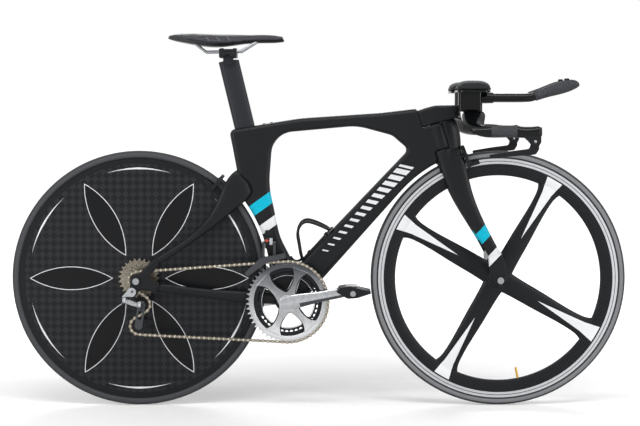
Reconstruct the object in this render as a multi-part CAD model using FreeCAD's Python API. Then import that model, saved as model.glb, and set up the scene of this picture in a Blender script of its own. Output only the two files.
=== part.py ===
import math
import os

import FreeCAD
import Part

# Time trial bike, in millimetres. +X is forward, +Z is up, and the drive side is -Y.
# The origin is on the ground, midway between the two axles.

# Layout
WHEELBASE = 940.0
TYRE_RADIUS = 334.0
BOTTOM_BRACKET_DROP = 57.0
BOTTOM_BRACKET_AHEAD = 390.0
HEAD_ANGLE = 73.0
FORK_RAKE = 40.0
FORK_LENGTH = 365.0
CLEARANCE = 0.3
RUNNING_FIT = 0.05
BOLT_RADIUS = 2.5

# Frame
WHEEL_GAP = 8.0
FRAME_HALF_WIDTH = 20.0
FRAME_EDGE = 12.0
HEAD_TUBE_RADIUS = 24.0
HEAD_TUBE_HEIGHT = 70.0
CROWN_RADIUS = 28.0
STEERING_GAP = 1.0
SHELL_RADIUS = 31.0
SHELL_WIDTH = 80.0
BEARING_WIDTH = 7.0
SPINDLE_RADIUS = 12.0
SPINDLE_BEARING_RADIUS = 18.5
STEERER_RADIUS = 14.3
STEERER_BEARING_RADIUS = 20.5
REAR_DROPOUT_SPACING = 130.0
DROPOUT_THICKNESS = 7.0
STAY_HALF_DEPTH = 13.0
STAY_HALF_WIDTH = 7.5
AXLE_END_RADIUS = 4.9
HANGER_RADIUS = 5.0
CAGE_SEAT = -1.0
CAGE_BASE = 4.0
CAGE_WIRE = 3.5
BOTTLE_RADIUS = 37.0

# Seat
SEATPOST_CHORD = 53.0
SEATPOST_THICKNESS = 20.0
SEATPOST_INSERTION = 90.0
SEATPOST_DROP = 30.0
SEATPOST_EXPOSED = 179.0
SEAT_ANGLE = 76.4
SADDLE_LENGTH = 300.0
SADDLE_WIDTH = 134.0
SADDLE_STACK = 49.5
RAIL_RADIUS = 3.5
RAIL_SPACING = 44.0
CLAMP_RADIUS = 13.0
CLAMP_HALF_WIDTH = 16.0
CRADLE_WALL = 4.0

# Steering
STEM_RADIUS = 39.0
STEM_TOP = 116.0
STEM_HALF_WIDTH = 20.0
BAR_WIDTH = 380.0
BAR_FORWARD = 92.0
BAR_UP = 73.0
HORN_DROP = 48.0
HORN_REACH = 154.0
EXTENSION_SPACING = 92.0
EXTENSION_RADIUS = 11.1
EXTENSION_STACK = 38.0
EXTENSION_REACH = 154.0
EXTENSION_TILT = 17.5
EXTENSION_RUN = 62.0
EXTENSION_BEND = 60.0
PAD_SPACING = 200.0
PAD_LENGTH = 88.0
PAD_WIDTH = 92.0
PAD_HEIGHT = 28.0
FORK_TIP_THICKNESS = 6.0
HORN_HALF_WIDTH = 12.0
HORN_HALF_HEIGHT = 14.5
RISER_LENGTH = 62.0
RISER_WIDTH = 26.0
CUP_THICKNESS = 5.0
POD_RINGS = [
    (14, 0, 12.6, 12.6), (30, 0.3, 12.8, 12.8), (60, 0.6, 14.4, 13.6), (86, 0.6, 16, 14.6),
    (108, 0, 14.8, 13.8), (126, -2, 9.6, 9.4), (132, -4, 4.5, 4.5),
]
BUTTON_PLACE = 100.0
BUTTON_HALF_LENGTH = 6.0
BUTTON_HALF_WIDTH = 4.0
BUTTON_FOOT = 9.0
BUTTON_FACE = 20.0
BUTTON_TRAVEL = 1.5
LEVER_PIN = 3.0
LEVER_HALF_WIDTH = 4.0
CHEEK_OUTLINE = [(6, 0), (6, -26), (0, -37), (-14, -37), (-24, -24), (-42, -8), (-46, 0)]

# Brakes
STUD_RADIUS = 3.0
STUD_RISE = 334.0
STUD_SIDE = 25.0
FRONT_ARM_RISE = 26.0
REAR_ARM_RISE = 15.0
PAD_GAP = 1.5
FRONT_BRAKE_REACH = 51.0
REAR_BRAKE_ANGLE = 50.0

# Wheels
TYRE_WIDTH = 23.0
TYRE_HEIGHT = 20.0
RIM_DEPTH = 45.0
RIM_WIDTH = 21.0
BRAKE_TRACK_HEIGHT = 14.0
SPOKE_COUNT = 4
SPOKE_WIDTH = 48.0
SPOKE_THICKNESS = 17.0
FRONT_DROPOUT_SPACING = 100.0
FRONT_HUB_RADIUS = 27.0
AXLE_RADIUS = 7.5
DISC_BULGE = 45.0
DISC_DRIVE_FACE = 13.0
TRACK_THICKNESS = 1.0
HUB_BEARING_RADIUS = 14.0
VALVE_ANGLE = 281.5
FIRST_SPOKE = 60.0
VALVE_RADIUS = 3.0
VALVE_LENGTH = 72.0
NUT_RADIUS = 8.5
NUT_LENGTH = 10.0
CAM_RADIUS = 7.0
CAM_PIN = 2.0
REAR_HUB_RADIUS = 30.0
REAR_HUB_END = 58.0
SKIN = 2.0

# Drive
CHAIN_PITCH = 12.7
BIG_RING_TEETH = 52
SMALL_RING_TEETH = 39
COG_TEETH = [11, 12, 13, 14, 15, 16, 17, 19, 21, 23, 25]
COG_SPACING = 3.95
OUTER_COG_OFFSET = 58.0
BIG_RING_OFFSET = 47.0
RING_SPACING = 7.0
CRANK_LENGTH = 170.0
CRANK_ANGLE = 11.0
PEDAL_FACE = 75.0
PULLEY_TEETH = 11
ROLLER_RADIUS = 3.85
FREEHUB_RADIUS = 17.0
COG_THICKNESS = 1.4
TOOTH_HEIGHT = 3.0
TOOTH_TIP = 2.0
RING_THICKNESS = 1.9
PULLEY_PIN = 2.5
PULLEY_DISTANCE = 56.0
PULLEY_HALF_HUB = 2.9
CAGE_GAP = 3.2
CAGE_PLATE = 1.5
STRAIGHT_SHARE = 0.16
CHAIN_INNER_GAP = 1.25
CHAIN_PLATE = 0.8
CHAIN_PIN = 1.6
CHAIN_SIDE_PLAY = 0.15
INNER_LINK_HEIGHT = 8.2
OUTER_LINK_HEIGHT = 7.6
BOLT_CIRCLE = 65.0
SPIDER_TURNS = [58.0, 126.0, 234.0, 302.0]
CRANK_THICKNESS = 13.0
CRANK_HUB_RADIUS = 22.0
PEDAL_AXLE_RADIUS = 7.0
PEDAL_LENGTH = 62.0
SHIFTER_PIN = 2.0
LINK_TILT = 30.0
LINK_PIN = 2.5
LINK_BARREL = 6.0
LINK_HALF_HEIGHT = 7.0
CAGE_STUB = 4.0

X_AXIS = FreeCAD.Vector(1, 0, 0)
Y_AXIS = FreeCAD.Vector(0, 1, 0)
Z_AXIS = FreeCAD.Vector(0, 0, 1)
RIM_RADIUS = TYRE_RADIUS - TYRE_HEIGHT
REAR_AXLE = FreeCAD.Vector(-WHEELBASE / 2, 0, TYRE_RADIUS)
FRONT_AXLE = FreeCAD.Vector(WHEELBASE / 2, 0, TYRE_RADIUS)
BOTTOM_BRACKET = REAR_AXLE + FreeCAD.Vector(BOTTOM_BRACKET_AHEAD, 0, -BOTTOM_BRACKET_DROP)
HEAD_TILT = math.radians(HEAD_ANGLE)
STEER_UP = FreeCAD.Vector(-math.cos(HEAD_TILT), 0, math.sin(HEAD_TILT))
STEER_FORWARD = FreeCAD.Vector(math.sin(HEAD_TILT), 0, math.cos(HEAD_TILT))
CROWN_RACE = FRONT_AXLE + STEER_UP * FORK_LENGTH - STEER_FORWARD * FORK_RAKE


def at(x, y, z):
    return FreeCAD.Vector(x, y, z)


def from_bracket(x, z, y=0.0):
    return BOTTOM_BRACKET + at(x, y, z)


def in_head(forward, up, y=0.0):
    return CROWN_RACE + STEER_FORWARD * forward + STEER_UP * up + Y_AXIS * y


def on_circle(centre, radius, degrees):
    turn = math.radians(degrees)
    return centre + at(radius * math.cos(turn), 0, radius * math.sin(turn))


def rounded_wire(corners):
    """Closed wire through corners (point, radius), each rounded by a tangent arc."""
    edges = []
    stops = []
    count = len(corners)
    for index, (point, radius) in enumerate(corners):
        before = (corners[index - 1][0] - point).normalize()
        after = (corners[(index + 1) % count][0] - point).normalize()
        half = before.getAngle(after) / 2
        if radius <= 0:
            stops.append((point, None, point))
            continue
        reach = radius / math.tan(half)
        middle = (before + after).normalize() * (radius / math.sin(half) - radius)
        stops.append((point + before * reach, point + middle, point + after * reach))
    for index, (start, middle, end) in enumerate(stops):
        if middle is not None:
            edges.append(Part.Arc(start, middle, end).toShape())
        following = stops[(index + 1) % count][0]
        if end.distanceToPoint(following) > 1e-6:
            edges.append(Part.LineSegment(end, following).toShape())
    return Part.Wire(edges)


def plate(corners, y_low, y_high):
    """Side outline in the XZ plane, with real thickness along Y."""
    face = Part.Face(rounded_wire(corners))
    face.translate(Y_AXIS * y_low)
    return face.extrude(Y_AXIS * (y_high - y_low))


def rod(start, end, radius):
    return Part.makeCylinder(radius, (end - start).Length, start, end - start)


def tube(start, end, outer, inner):
    return rod(start, end, outer).cut(rod(start, end, inner))


def cross_rod(centre, y_low, y_high, radius):
    return rod(at(centre.x, y_low, centre.z), at(centre.x, y_high, centre.z), radius)


def cross_tube(centre, y_low, y_high, outer, inner):
    return cross_rod(centre, y_low, y_high, outer).cut(cross_rod(centre, y_low, y_high, inner))


def oval(centre, half_long, half_short):
    """Closed smooth section: half_long and half_short are vectors from its centre."""
    points = []
    for index in range(12):
        turn = math.tau * index / 12
        points.append(centre + half_long * math.cos(turn) + half_short * math.sin(turn))
    curve = Part.BSplineCurve()
    curve.interpolate(points, PeriodicFlag=True)
    return Part.Wire(curve.toShape())


def loft(sections):
    solid = Part.makeLoft(sections, True, False, False, 3)
    return solid if solid.Volume > 0 else solid.reversed()


def turned(profile, centre):
    """Ring turned about the Y axis through centre; profile holds (radius, y) corners."""
    points = [centre + at(radius, y, 0) for radius, y in profile]
    face = Part.Face(Part.makePolygon(points + points[:1]))
    return face.revolve(centre, Y_AXIS, 360)


def mirrored(shape):
    return shape.mirror(at(0, 0, 0), Y_AXIS)


def joined(shapes):
    body = shapes[0]
    for shape in shapes[1:]:
        body = body.fuse(shape)
    return body


def group(shapes):
    return Part.makeCompound([solid for shape in shapes for solid in shape.Solids])


def box(low, high):
    size = high - low
    return Part.makeBox(size.x, size.y, size.z, low)


SEAT_TILT = math.radians(SEAT_ANGLE)
POST_UP = at(-math.cos(SEAT_TILT), 0, math.sin(SEAT_TILT))
POST_FORWARD = at(math.sin(SEAT_TILT), 0, math.cos(SEAT_TILT))
POST_COLLAR = from_bracket(-114, 454)


def post_section(along, grow=0.0):
    centre = POST_COLLAR + POST_UP * along
    return oval(
        centre,
        POST_FORWARD * (SEATPOST_CHORD / 2 + grow),
        Y_AXIS * (SEATPOST_THICKNESS / 2 + grow),
    )


def front_triangle():
    """Top, down, seat and head tubes with the bracket shell, moulded as one."""
    gap_radius = TYRE_RADIUS + WHEEL_GAP
    span = FRONT_AXLE - BOTTOM_BRACKET
    lean = math.degrees(math.atan2(span.z, span.x))
    swing = math.degrees(math.acos((gap_radius + SHELL_RADIUS) / span.Length))
    # The lower edge of the down tube touches the shell's circle and the front wheel's gap.
    shell_touch = on_circle(BOTTOM_BRACKET, SHELL_RADIUS, lean - swing)
    gap_start = lean + 180 - swing
    gap_end = 118.0
    gap_corner = on_circle(
        FRONT_AXLE,
        gap_radius / math.cos(math.radians((gap_start - gap_end) / 2)),
        (gap_start + gap_end) / 2,
    )
    gap_leave = on_circle(FRONT_AXLE, gap_radius, gap_end)
    along = (gap_leave - gap_corner).normalize()
    reach = (CROWN_RACE - gap_leave).dot(STEER_FORWARD) / along.dot(STEER_FORWARD)
    crown_corner = gap_leave + along * reach
    rear_low = -3.0
    rear_high = 33.0
    rear_corner = on_circle(
        REAR_AXLE,
        gap_radius / math.cos(math.radians((rear_high - rear_low) / 2)),
        (rear_high + rear_low) / 2,
    )
    rear_leave = on_circle(REAR_AXLE, gap_radius, rear_high)
    rear_enter = on_circle(REAR_AXLE, gap_radius, rear_low)
    outline = [
        (shell_touch, 16),
        (gap_corner, gap_radius),
        (crown_corner, 0),
        (in_head(0, STEM_TOP), 0),
        (from_bracket(242, 490), 300),
        (from_bracket(31, 476), 500),
        (from_bracket(-154, 446), 16),
        (rear_leave + (rear_leave - rear_corner).normalize() * 32, 60),
        (rear_corner, gap_radius),
        (rear_enter + (rear_enter - rear_corner).normalize() * 26, 16),
        (from_bracket(-24, -28), 16),
    ]
    opening = [
        (from_bracket(20, 84), 14),
        (in_head(-86, 26), 14),
        (in_head(-116, 74), 40),
        (from_bracket(180, 456), 150),
        (from_bracket(-40, 436), 60),
        (from_bracket(-50, 300), 200),
        (from_bracket(-22, 165), 150),
    ]
    body = plate(outline, -FRAME_HALF_WIDTH, FRAME_HALF_WIDTH)
    body = body.cut(plate(opening, -FRAME_HALF_WIDTH, FRAME_HALF_WIDTH))
    rounded = []
    for face in body.Faces:
        if abs(face.normalAt(0, 0).y) < 0.9:
            continue
        for edge in face.Edges:
            middle = edge.valueAt((edge.FirstParameter + edge.LastParameter) / 2)
            if abs((middle - CROWN_RACE).dot(STEER_FORWARD)) > 1:
                rounded.append(edge)
    body = body.makeFillet(FRAME_EDGE, rounded)
    head = rod(in_head(0, STEERING_GAP), in_head(0, HEAD_TUBE_HEIGHT - STEERING_GAP), HEAD_TUBE_RADIUS)
    shell = cross_rod(BOTTOM_BRACKET, -SHELL_WIDTH / 2, SHELL_WIDTH / 2, SHELL_RADIUS)
    shell = shell.makeFillet(3, shell.Edges)
    body = body.fuse([head, shell])
    crown_room = rod(in_head(0, -4 * CROWN_RADIUS), in_head(0, STEERING_GAP), CROWN_RADIUS + 2 * STEERING_GAP)
    stem_room = rod(
        in_head(0, HEAD_TUBE_HEIGHT - STEERING_GAP), in_head(0, 2 * STEM_TOP), STEM_RADIUS + STEERING_GAP
    )
    steerer_room = rod(in_head(0, -1), in_head(0, STEM_TOP), STEERER_RADIUS + 2)
    bore = cross_rod(BOTTOM_BRACKET, -SHELL_WIDTH, SHELL_WIDTH, SPINDLE_RADIUS + 2)
    cups = []
    for side in (-1, 1):
        inner = side * (SHELL_WIDTH / 2 - BEARING_WIDTH)
        cups.append(cross_rod(BOTTOM_BRACKET, min(inner, side * SHELL_WIDTH), max(inner, side * SHELL_WIDTH),
                              SPINDLE_BEARING_RADIUS))
    for low in (0, HEAD_TUBE_HEIGHT - STEERING_GAP - BEARING_WIDTH):
        high = low + BEARING_WIDTH + STEERING_GAP
        cups.append(rod(in_head(0, low), in_head(0, high), STEERER_BEARING_RADIUS))
    pocket_floor = -SEATPOST_INSERTION - SEATPOST_DROP - 5
    pocket = loft([post_section(pocket_floor, CLEARANCE), post_section(40, CLEARANCE)])
    return body.cut([crown_room, stem_room, steerer_room, bore, pocket] + cups)


def frame_bearings():
    """Two bracket bearings and two headset bearings, pressed into the frame."""
    rings = []
    for side in (-1, 1):
        low = side * SHELL_WIDTH / 2 - (BEARING_WIDTH if side > 0 else 0)
        rings.append(cross_tube(BOTTOM_BRACKET, low, low + BEARING_WIDTH, SPINDLE_BEARING_RADIUS,
                                SPINDLE_RADIUS + RUNNING_FIT))
    for low in (STEERING_GAP, HEAD_TUBE_HEIGHT - STEERING_GAP - BEARING_WIDTH):
        rings.append(tube(in_head(0, low), in_head(0, low + BEARING_WIDTH), STEERER_BEARING_RADIUS,
                          STEERER_RADIUS + RUNNING_FIT))
    return group(rings)


HANGER = REAR_AXLE + at(-10, 0, -27)


def dropout_plates():
    """Two rear dropouts; the right one carries the derailleur hanger."""
    shared = [(10, 20), (-15, 14), (-16, -18)]
    hanger = [(-22, -26), (-18, -38), (0, -38), (8, -22)]
    plain = [(8, -18)]
    forward = [(54, -30), (60, -8), (32, 8), (60, 46), (46, 58)]
    plates = []
    for side, low_edge in ((-1, hanger), (1, plain)):
        corners = [(REAR_AXLE + at(x, 0, z), 6) for x, z in shared + low_edge + forward]
        inner = REAR_DROPOUT_SPACING / 2
        low = -inner - DROPOUT_THICKNESS if side < 0 else inner
        solid = plate(corners, low, low + DROPOUT_THICKNESS)
        solid = solid.cut(cross_rod(REAR_AXLE, low - 1, low + DROPOUT_THICKNESS + 1, AXLE_END_RADIUS))
        if side < 0:
            solid = solid.cut(cross_rod(HANGER, low - 1, low + DROPOUT_THICKNESS + 1, HANGER_RADIUS))
        plates.append(solid)
    return group(plates)


def stay_pair(stations, cuts):
    """Two mirrored stays lofted through (centre, half depth, half width, depth direction)."""
    sections = []
    for centre, depth, width, deep in stations:
        sections.append(oval(centre, deep.normalize() * depth, Y_AXIS * width))
    right = loft(sections)
    tyre_room = cross_rod(REAR_AXLE, -TYRE_WIDTH / 2 - 3, TYRE_WIDTH / 2 + 3, TYRE_RADIUS + WHEEL_GAP / 2)
    pair = []
    for stay in (right, mirrored(right)):
        pieces = stay.cut([tyre_room] + cuts).Solids
        pair.append(max(pieces, key=lambda piece: piece.Volume))
    return group(pair)


def chainstays(cuts):
    end = REAR_DROPOUT_SPACING / 2 + DROPOUT_THICKNESS / 2
    return stay_pair(
        [
            (from_bracket(-12, 4, -22), STAY_HALF_DEPTH + 3, STAY_HALF_WIDTH + 1, at(0, 0, 1)),
            (from_bracket(-85, 9, -26), STAY_HALF_DEPTH + 2, STAY_HALF_WIDTH, at(0, 0, 1)),
            (from_bracket(-175, 17, -38), STAY_HALF_DEPTH, STAY_HALF_WIDTH, at(0.1, 0, 1)),
            (from_bracket(-254, 28, -51), STAY_HALF_DEPTH - 2, STAY_HALF_WIDTH - 1, at(0.1, 0, 1)),
            (REAR_AXLE + at(90, -end + 8, -22), STAY_HALF_DEPTH - 2, STAY_HALF_WIDTH - 2, at(0, 0, 1)),
            (REAR_AXLE + at(44, -end, -19), STAY_HALF_DEPTH - 4, DROPOUT_THICKNESS / 2 - 0.8, at(0, 0, 1)),
        ],
        cuts,
    )


def seatstays(cuts):
    end = REAR_DROPOUT_SPACING / 2 + DROPOUT_THICKNESS / 2
    return stay_pair(
        [
            (from_bracket(-100, 312, -12), 40, STAY_HALF_WIDTH, at(-0.6, 0, 0.8)),
            (from_bracket(-146, 276, -23), 34, STAY_HALF_WIDTH, at(-0.55, 0, 0.83)),
            (from_bracket(-190, 217, -29), 17, STAY_HALF_WIDTH, at(-0.6, 0, 0.8)),
            (from_bracket(-232, 177, -37), 10, STAY_HALF_WIDTH, at(-0.55, 0, 0.83)),
            (REAR_AXLE + at(90, -end + 14, 72), 9, STAY_HALF_WIDTH - 1, at(-0.5, 0, 0.87)),
            (REAR_AXLE + at(46, -end, 44), 8, DROPOUT_THICKNESS / 2 - 0.8, at(-0.6, 0, 0.8)),
        ],
        cuts,
    )


DOWN_TUBE_ALONG = (from_bracket(265, 350) - from_bracket(36, 102)).normalize()
DOWN_TUBE_OUT = at(-DOWN_TUBE_ALONG.z, 0, DOWN_TUBE_ALONG.x)


def on_down_tube(along, out, y=0.0):
    return from_bracket(36, 102) + DOWN_TUBE_ALONG * along + DOWN_TUBE_OUT * out + Y_AXIS * y


def bent_rod(points, radius):
    """Round wire through the points, with a ball at each bend."""
    pieces = []
    for start, end in zip(points, points[1:]):
        pieces.append(rod(start, end, radius))
    for point in points[1:-1]:
        pieces.append(Part.makeSphere(radius, point))
    return joined(pieces)


def curved_rod(points, radius):
    """Round wire on a smooth curve through the points."""
    curve = Part.BSplineCurve()
    curve.interpolate(points)
    start = curve.tangent(curve.FirstParameter)[0]
    section = Part.Wire(Part.makeCircle(radius, points[0], start))
    return Part.Wire(curve.toShape()).makePipeShell([section], True, True)


def bottle_cage(cuts):
    """Bottle cage: a base strip on the down tube, two arched side wires and a lip."""
    base = Part.makeBox(120, 20, CAGE_BASE)
    base.translate(at(0, -10, 0))
    upright = [edge for edge in base.Edges if abs(edge.tangentAt(edge.FirstParameter).z) > 0.9]
    base = base.makeFillet(1.5, upright)
    place = FreeCAD.Matrix(
        DOWN_TUBE_ALONG.x, 0, DOWN_TUBE_OUT.x, 0,
        0, 1, 0, 0,
        DOWN_TUBE_ALONG.z, 0, DOWN_TUBE_OUT.z, 0,
        0, 0, 0, 1,
    )
    base.transformShape(place)
    base.translate(on_down_tube(0, CAGE_SEAT))
    pieces = [base]
    low = CAGE_SEAT + CAGE_BASE / 2
    wide = BOTTLE_RADIUS + CAGE_WIRE + 1
    for side in (-1, 1):
        pieces.append(
            curved_rod(
                [
                    on_down_tube(112, low + 2, side * 4),
                    on_down_tube(107, low + 14, side * wide * 0.85),
                    on_down_tube(96, 46, side * wide),
                    on_down_tube(80, 66, side * wide),
                    on_down_tube(56, 64, side * wide * 0.95),
                    on_down_tube(30, 38, side * wide * 0.8),
                    on_down_tube(13, 16, side * wide * 0.6),
                    on_down_tube(6, low + 2, side * 4),
                ],
                CAGE_WIRE,
            )
        )
    pieces.append(
        curved_rod([on_down_tube(6, low + 2), on_down_tube(-12, 12), on_down_tube(-12, 30)], CAGE_WIRE)
    )
    return joined(pieces).cut(cuts)


def frame_bolts():
    """Cage bolts on the down tube and clamp bolts on the top tube by the seatpost."""
    bolts = []
    for along in (30, 94):
        head = on_down_tube(along, CAGE_SEAT + CAGE_BASE)
        bolts.append(rod(head, head + DOWN_TUBE_OUT * 2.5, 2 * BOLT_RADIUS))
        bolts.append(rod(head - DOWN_TUBE_OUT * 12, head, BOLT_RADIUS))
    rear = from_bracket(-154, 446)
    slope = (from_bracket(31, 476) - rear).normalize()
    normal = at(-slope.z, 0, slope.x)
    for along in (92, 112):
        head = rear + slope * along
        bolts.append(rod(head, head + normal * 2.0, 1.4 * BOLT_RADIUS))
        bolts.append(rod(head - normal * 12, head, BOLT_RADIUS))
    pairs = [bolts[index].fuse(bolts[index + 1]) for index in range(0, len(bolts), 2)]
    return group(pairs)


POST_HEAD = POST_COLLAR + POST_UP * SEATPOST_EXPOSED
RAIL_HEIGHT = POST_HEAD.z + CLAMP_RADIUS + CRADLE_WALL + RAIL_RADIUS
SADDLE_TOP = RAIL_HEIGHT + SADDLE_STACK


def seatpost():
    """Aero seatpost with a round head across its top."""
    length = (POST_HEAD - POST_COLLAR).Length
    blade = loft([post_section(-SEATPOST_INSERTION), post_section(length)])
    top = box(POST_HEAD + at(-80, -80, 1), POST_HEAD + at(80, 80, 80))
    head = cross_rod(POST_HEAD, -CLAMP_HALF_WIDTH, CLAMP_HALF_WIDTH, CLAMP_RADIUS)
    return joined([blade.cut(top), head])


def saddle_rails(cuts):
    """Two bent rails that hold the saddle base."""
    half = RAIL_SPACING / 2
    x = POST_HEAD.x
    rails = []
    for side in (-1, 1):
        wire = bent_rod(
            [
                at(x - 96, side * (half + 10), RAIL_HEIGHT + 30),
                at(x - 58, side * half, RAIL_HEIGHT),
                at(x + 34, side * half, RAIL_HEIGHT + 2),
                at(x + 84, side * half * 0.4, RAIL_HEIGHT + 32),
            ],
            RAIL_RADIUS,
        )
        rails.append(max(wire.cut(cuts).Solids, key=lambda piece: piece.Volume))
    return group(rails)


def saddle_clamp(cuts):
    """Cradle on the post head, a yoke over the rails, and two clamp bolts."""
    x = POST_HEAD.x
    half = RAIL_SPACING / 2 + RAIL_RADIUS + 3
    cradle = box(at(x - 23, -half, POST_HEAD.z + 5), at(x + 23, half, RAIL_HEIGHT))
    cradle = cradle.makeFillet(3, [edge for edge in cradle.Edges if edge.Length < RAIL_HEIGHT])
    cradle = cradle.cut(cross_rod(POST_HEAD, -half - 1, half + 1, CLAMP_RADIUS + CLEARANCE))
    yoke = box(at(x - 23, -half, RAIL_HEIGHT + CLEARANCE), at(x + 23, half, RAIL_HEIGHT + RAIL_RADIUS + 4))
    bolts = []
    for shift in (-17, 17):
        foot = at(x + shift, 0, POST_HEAD.z + 5)
        head = at(x + shift, 0, RAIL_HEIGHT + RAIL_RADIUS + 4)
        bolts.append(rod(foot, head, BOLT_RADIUS).fuse(rod(head, head + Z_AXIS * 3, 2 * BOLT_RADIUS)))
    return group([cradle.cut(bolts + cuts), yoke.cut(bolts + cuts)] + bolts)


def cushion_section(x, half_width, top, bottom, crown):
    """Cushion section: flat base, drawn-in sides and a crowned top."""
    foot = half_width * 0.9
    shoulder = half_width * 0.94
    waist = (top - crown + bottom) / 2
    left = [at(x, -foot, bottom), at(x, -half_width, waist), at(x, -shoulder, top - crown)]
    right = [at(x, foot, bottom), at(x, half_width, waist), at(x, shoulder, top - crown)]
    return Part.Wire(
        [
            Part.LineSegment(left[0], right[0]).toShape(),
            Part.Arc(*right).toShape(),
            Part.Arc(right[2], at(x, 0, top), left[2]).toShape(),
            Part.Arc(left[2], left[1], left[0]).toShape(),
        ]
    )


def saddle_stations():
    """Stations from tail to nose: place along the saddle, share of its width, rise and underside."""
    tail = POST_HEAD.x - 0.515 * SADDLE_LENGTH
    shares = [
        (0.0, 0.46, -4, -10),
        (0.06, 0.84, 0, -15),
        (0.2, 1.0, 0, -23),
        (0.4, 0.8, -2, -30),
        (0.62, 0.4, -2, -24),
        (0.86, 0.3, -1, -20),
        (1.0, 0.2, -7, -17),
    ]
    return [(tail + share * SADDLE_LENGTH, wide * SADDLE_WIDTH / 2, SADDLE_TOP + rise, SADDLE_TOP + under)
            for share, wide, rise, under in shares]


def saddle_cover():
    """Leather covered cushion."""
    sections = []
    for x, half, top, low in saddle_stations():
        sections.append(cushion_section(x, half, top, low, 0.3 * (top - low)))
    return loft(sections)


def saddle_base():
    """Moulded base shell under the cushion."""
    sections = []
    for x, half, top, low in saddle_stations():
        high = low - CLEARANCE
        sections.append(
            rounded_wire(
                [
                    (at(x, -0.86 * half, high), 0),
                    (at(x, -0.7 * half, high - 5), 0),
                    (at(x, 0.7 * half, high - 5), 0),
                    (at(x, 0.86 * half, high), 0),
                ]
            )
        )
    return loft(sections)


def blade_section(up, forward, half_chord, y, half_thick):
    return oval(in_head(forward, up, y), STEER_FORWARD * half_chord, Y_AXIS * half_thick)


def fork():
    """Fork: steerer, round crown, front fairing, two blades, tips and brake studs."""
    inner = FRONT_DROPOUT_SPACING / 2
    tip = inner + FORK_TIP_THICKNESS / 2
    steerer = rod(in_head(0, -10), in_head(0, STEM_TOP - 4), STEERER_RADIUS)
    crown = rod(in_head(0, -58), in_head(0, 0), CROWN_RADIUS)
    fairing = loft(
        [
            blade_section(-62, 8, 34, 0, 20),
            blade_section(-10, 10, 37, 0, 20),
            blade_section(38, 14, 42, 0, 19),
            blade_section(HEAD_TUBE_HEIGHT, 14, 37, 0, 18),
        ]
    )
    behind = box(at(-200, -60, STEERING_GAP / 2), at(3, 60, 2 * STEM_TOP))
    behind.Placement = FreeCAD.Placement(CROWN_RACE, FreeCAD.Rotation(STEER_FORWARD, Y_AXIS, STEER_UP, "XZY"))
    head_room = rod(in_head(0, 0), in_head(0, HEAD_TUBE_HEIGHT + 1), HEAD_TUBE_RADIUS + STEERING_GAP)
    fairing = fairing.cut([behind, head_room])
    right = loft(
        [
            blade_section(-8, 12, 28, -16, 8),
            blade_section(-60, 12, 32, -21, 8.5),
            blade_section(-110, 12, 28, -25, 8),
            blade_section(-200, 4.5 + FORK_RAKE / 2, 19.5, -36, 7.5),
            blade_section(60 - FORK_LENGTH, FORK_RAKE + 6, 16, -tip, FORK_TIP_THICKNESS / 2 - 0.6),
        ]
    )
    outline = [(-16, -12), (16, -12), (26, 28), (24, 68), (-12, 68), (-20, 28)]
    corners = [(in_head(FORK_RAKE + v, u - FORK_LENGTH), 7) for v, u in outline]
    end = plate(corners, -tip - FORK_TIP_THICKNESS / 2, -tip + FORK_TIP_THICKNESS / 2)
    stud = rod(
        in_head(20, STUD_RISE - FORK_LENGTH, -STUD_SIDE),
        in_head(FRONT_BRAKE_REACH + 6, STUD_RISE - FORK_LENGTH, -STUD_SIDE),
        STUD_RADIUS,
    )
    sides = [right, end, stud]
    body = joined([crown, fairing] + sides + [mirrored(piece) for piece in sides])
    tyre_room = cross_rod(FRONT_AXLE, -TYRE_WIDTH / 2 - 3, TYRE_WIDTH / 2 + 3, TYRE_RADIUS + 5)
    axle_room = cross_rod(FRONT_AXLE, -100, 100, AXLE_END_RADIUS)
    body = body.cut([tyre_room, axle_room])
    return joined([max(body.Solids, key=lambda piece: piece.Volume), steerer])


BAR_CENTRE = in_head(BAR_FORWARD, BAR_UP)
HORN_HEIGHT = BAR_CENTRE.z - HORN_DROP
HORN_TIP = BAR_CENTRE.x + HORN_REACH
EXTENSION_HEIGHT = BAR_CENTRE.z + EXTENSION_STACK


def base_bar():
    """Base bar: a wing through the stem that drops and sweeps forward into two horns."""
    half = BAR_WIDTH / 2
    x = BAR_CENTRE.x
    z = BAR_CENTRE.z
    stations = [
        oval(at(x, 0, z), X_AXIS * 34, Z_AXIS * 11),
        oval(at(x, 70, z - 3), X_AXIS * 33, Z_AXIS * 11),
        oval(at(x - 2, half - 55, (2 * z + HORN_HEIGHT) / 3 - 6), at(29, -4, 0), Z_AXIS * 12),
        oval(at(x + 8, half - 18, HORN_HEIGHT + 4), at(18, -15, 0), Z_AXIS * 13),
        oval(at(x + 44, half, HORN_HEIGHT), Y_AXIS * -HORN_HALF_WIDTH, Z_AXIS * HORN_HALF_HEIGHT),
    ]
    for forward in ((x + 44 + HORN_TIP) / 2, HORN_TIP):
        centre = at(forward, half, HORN_HEIGHT)
        stations.append(oval(centre, Y_AXIS * -HORN_HALF_WIDTH, Z_AXIS * HORN_HALF_HEIGHT))
    left = loft(stations)
    return joined([left, mirrored(left)])


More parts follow.
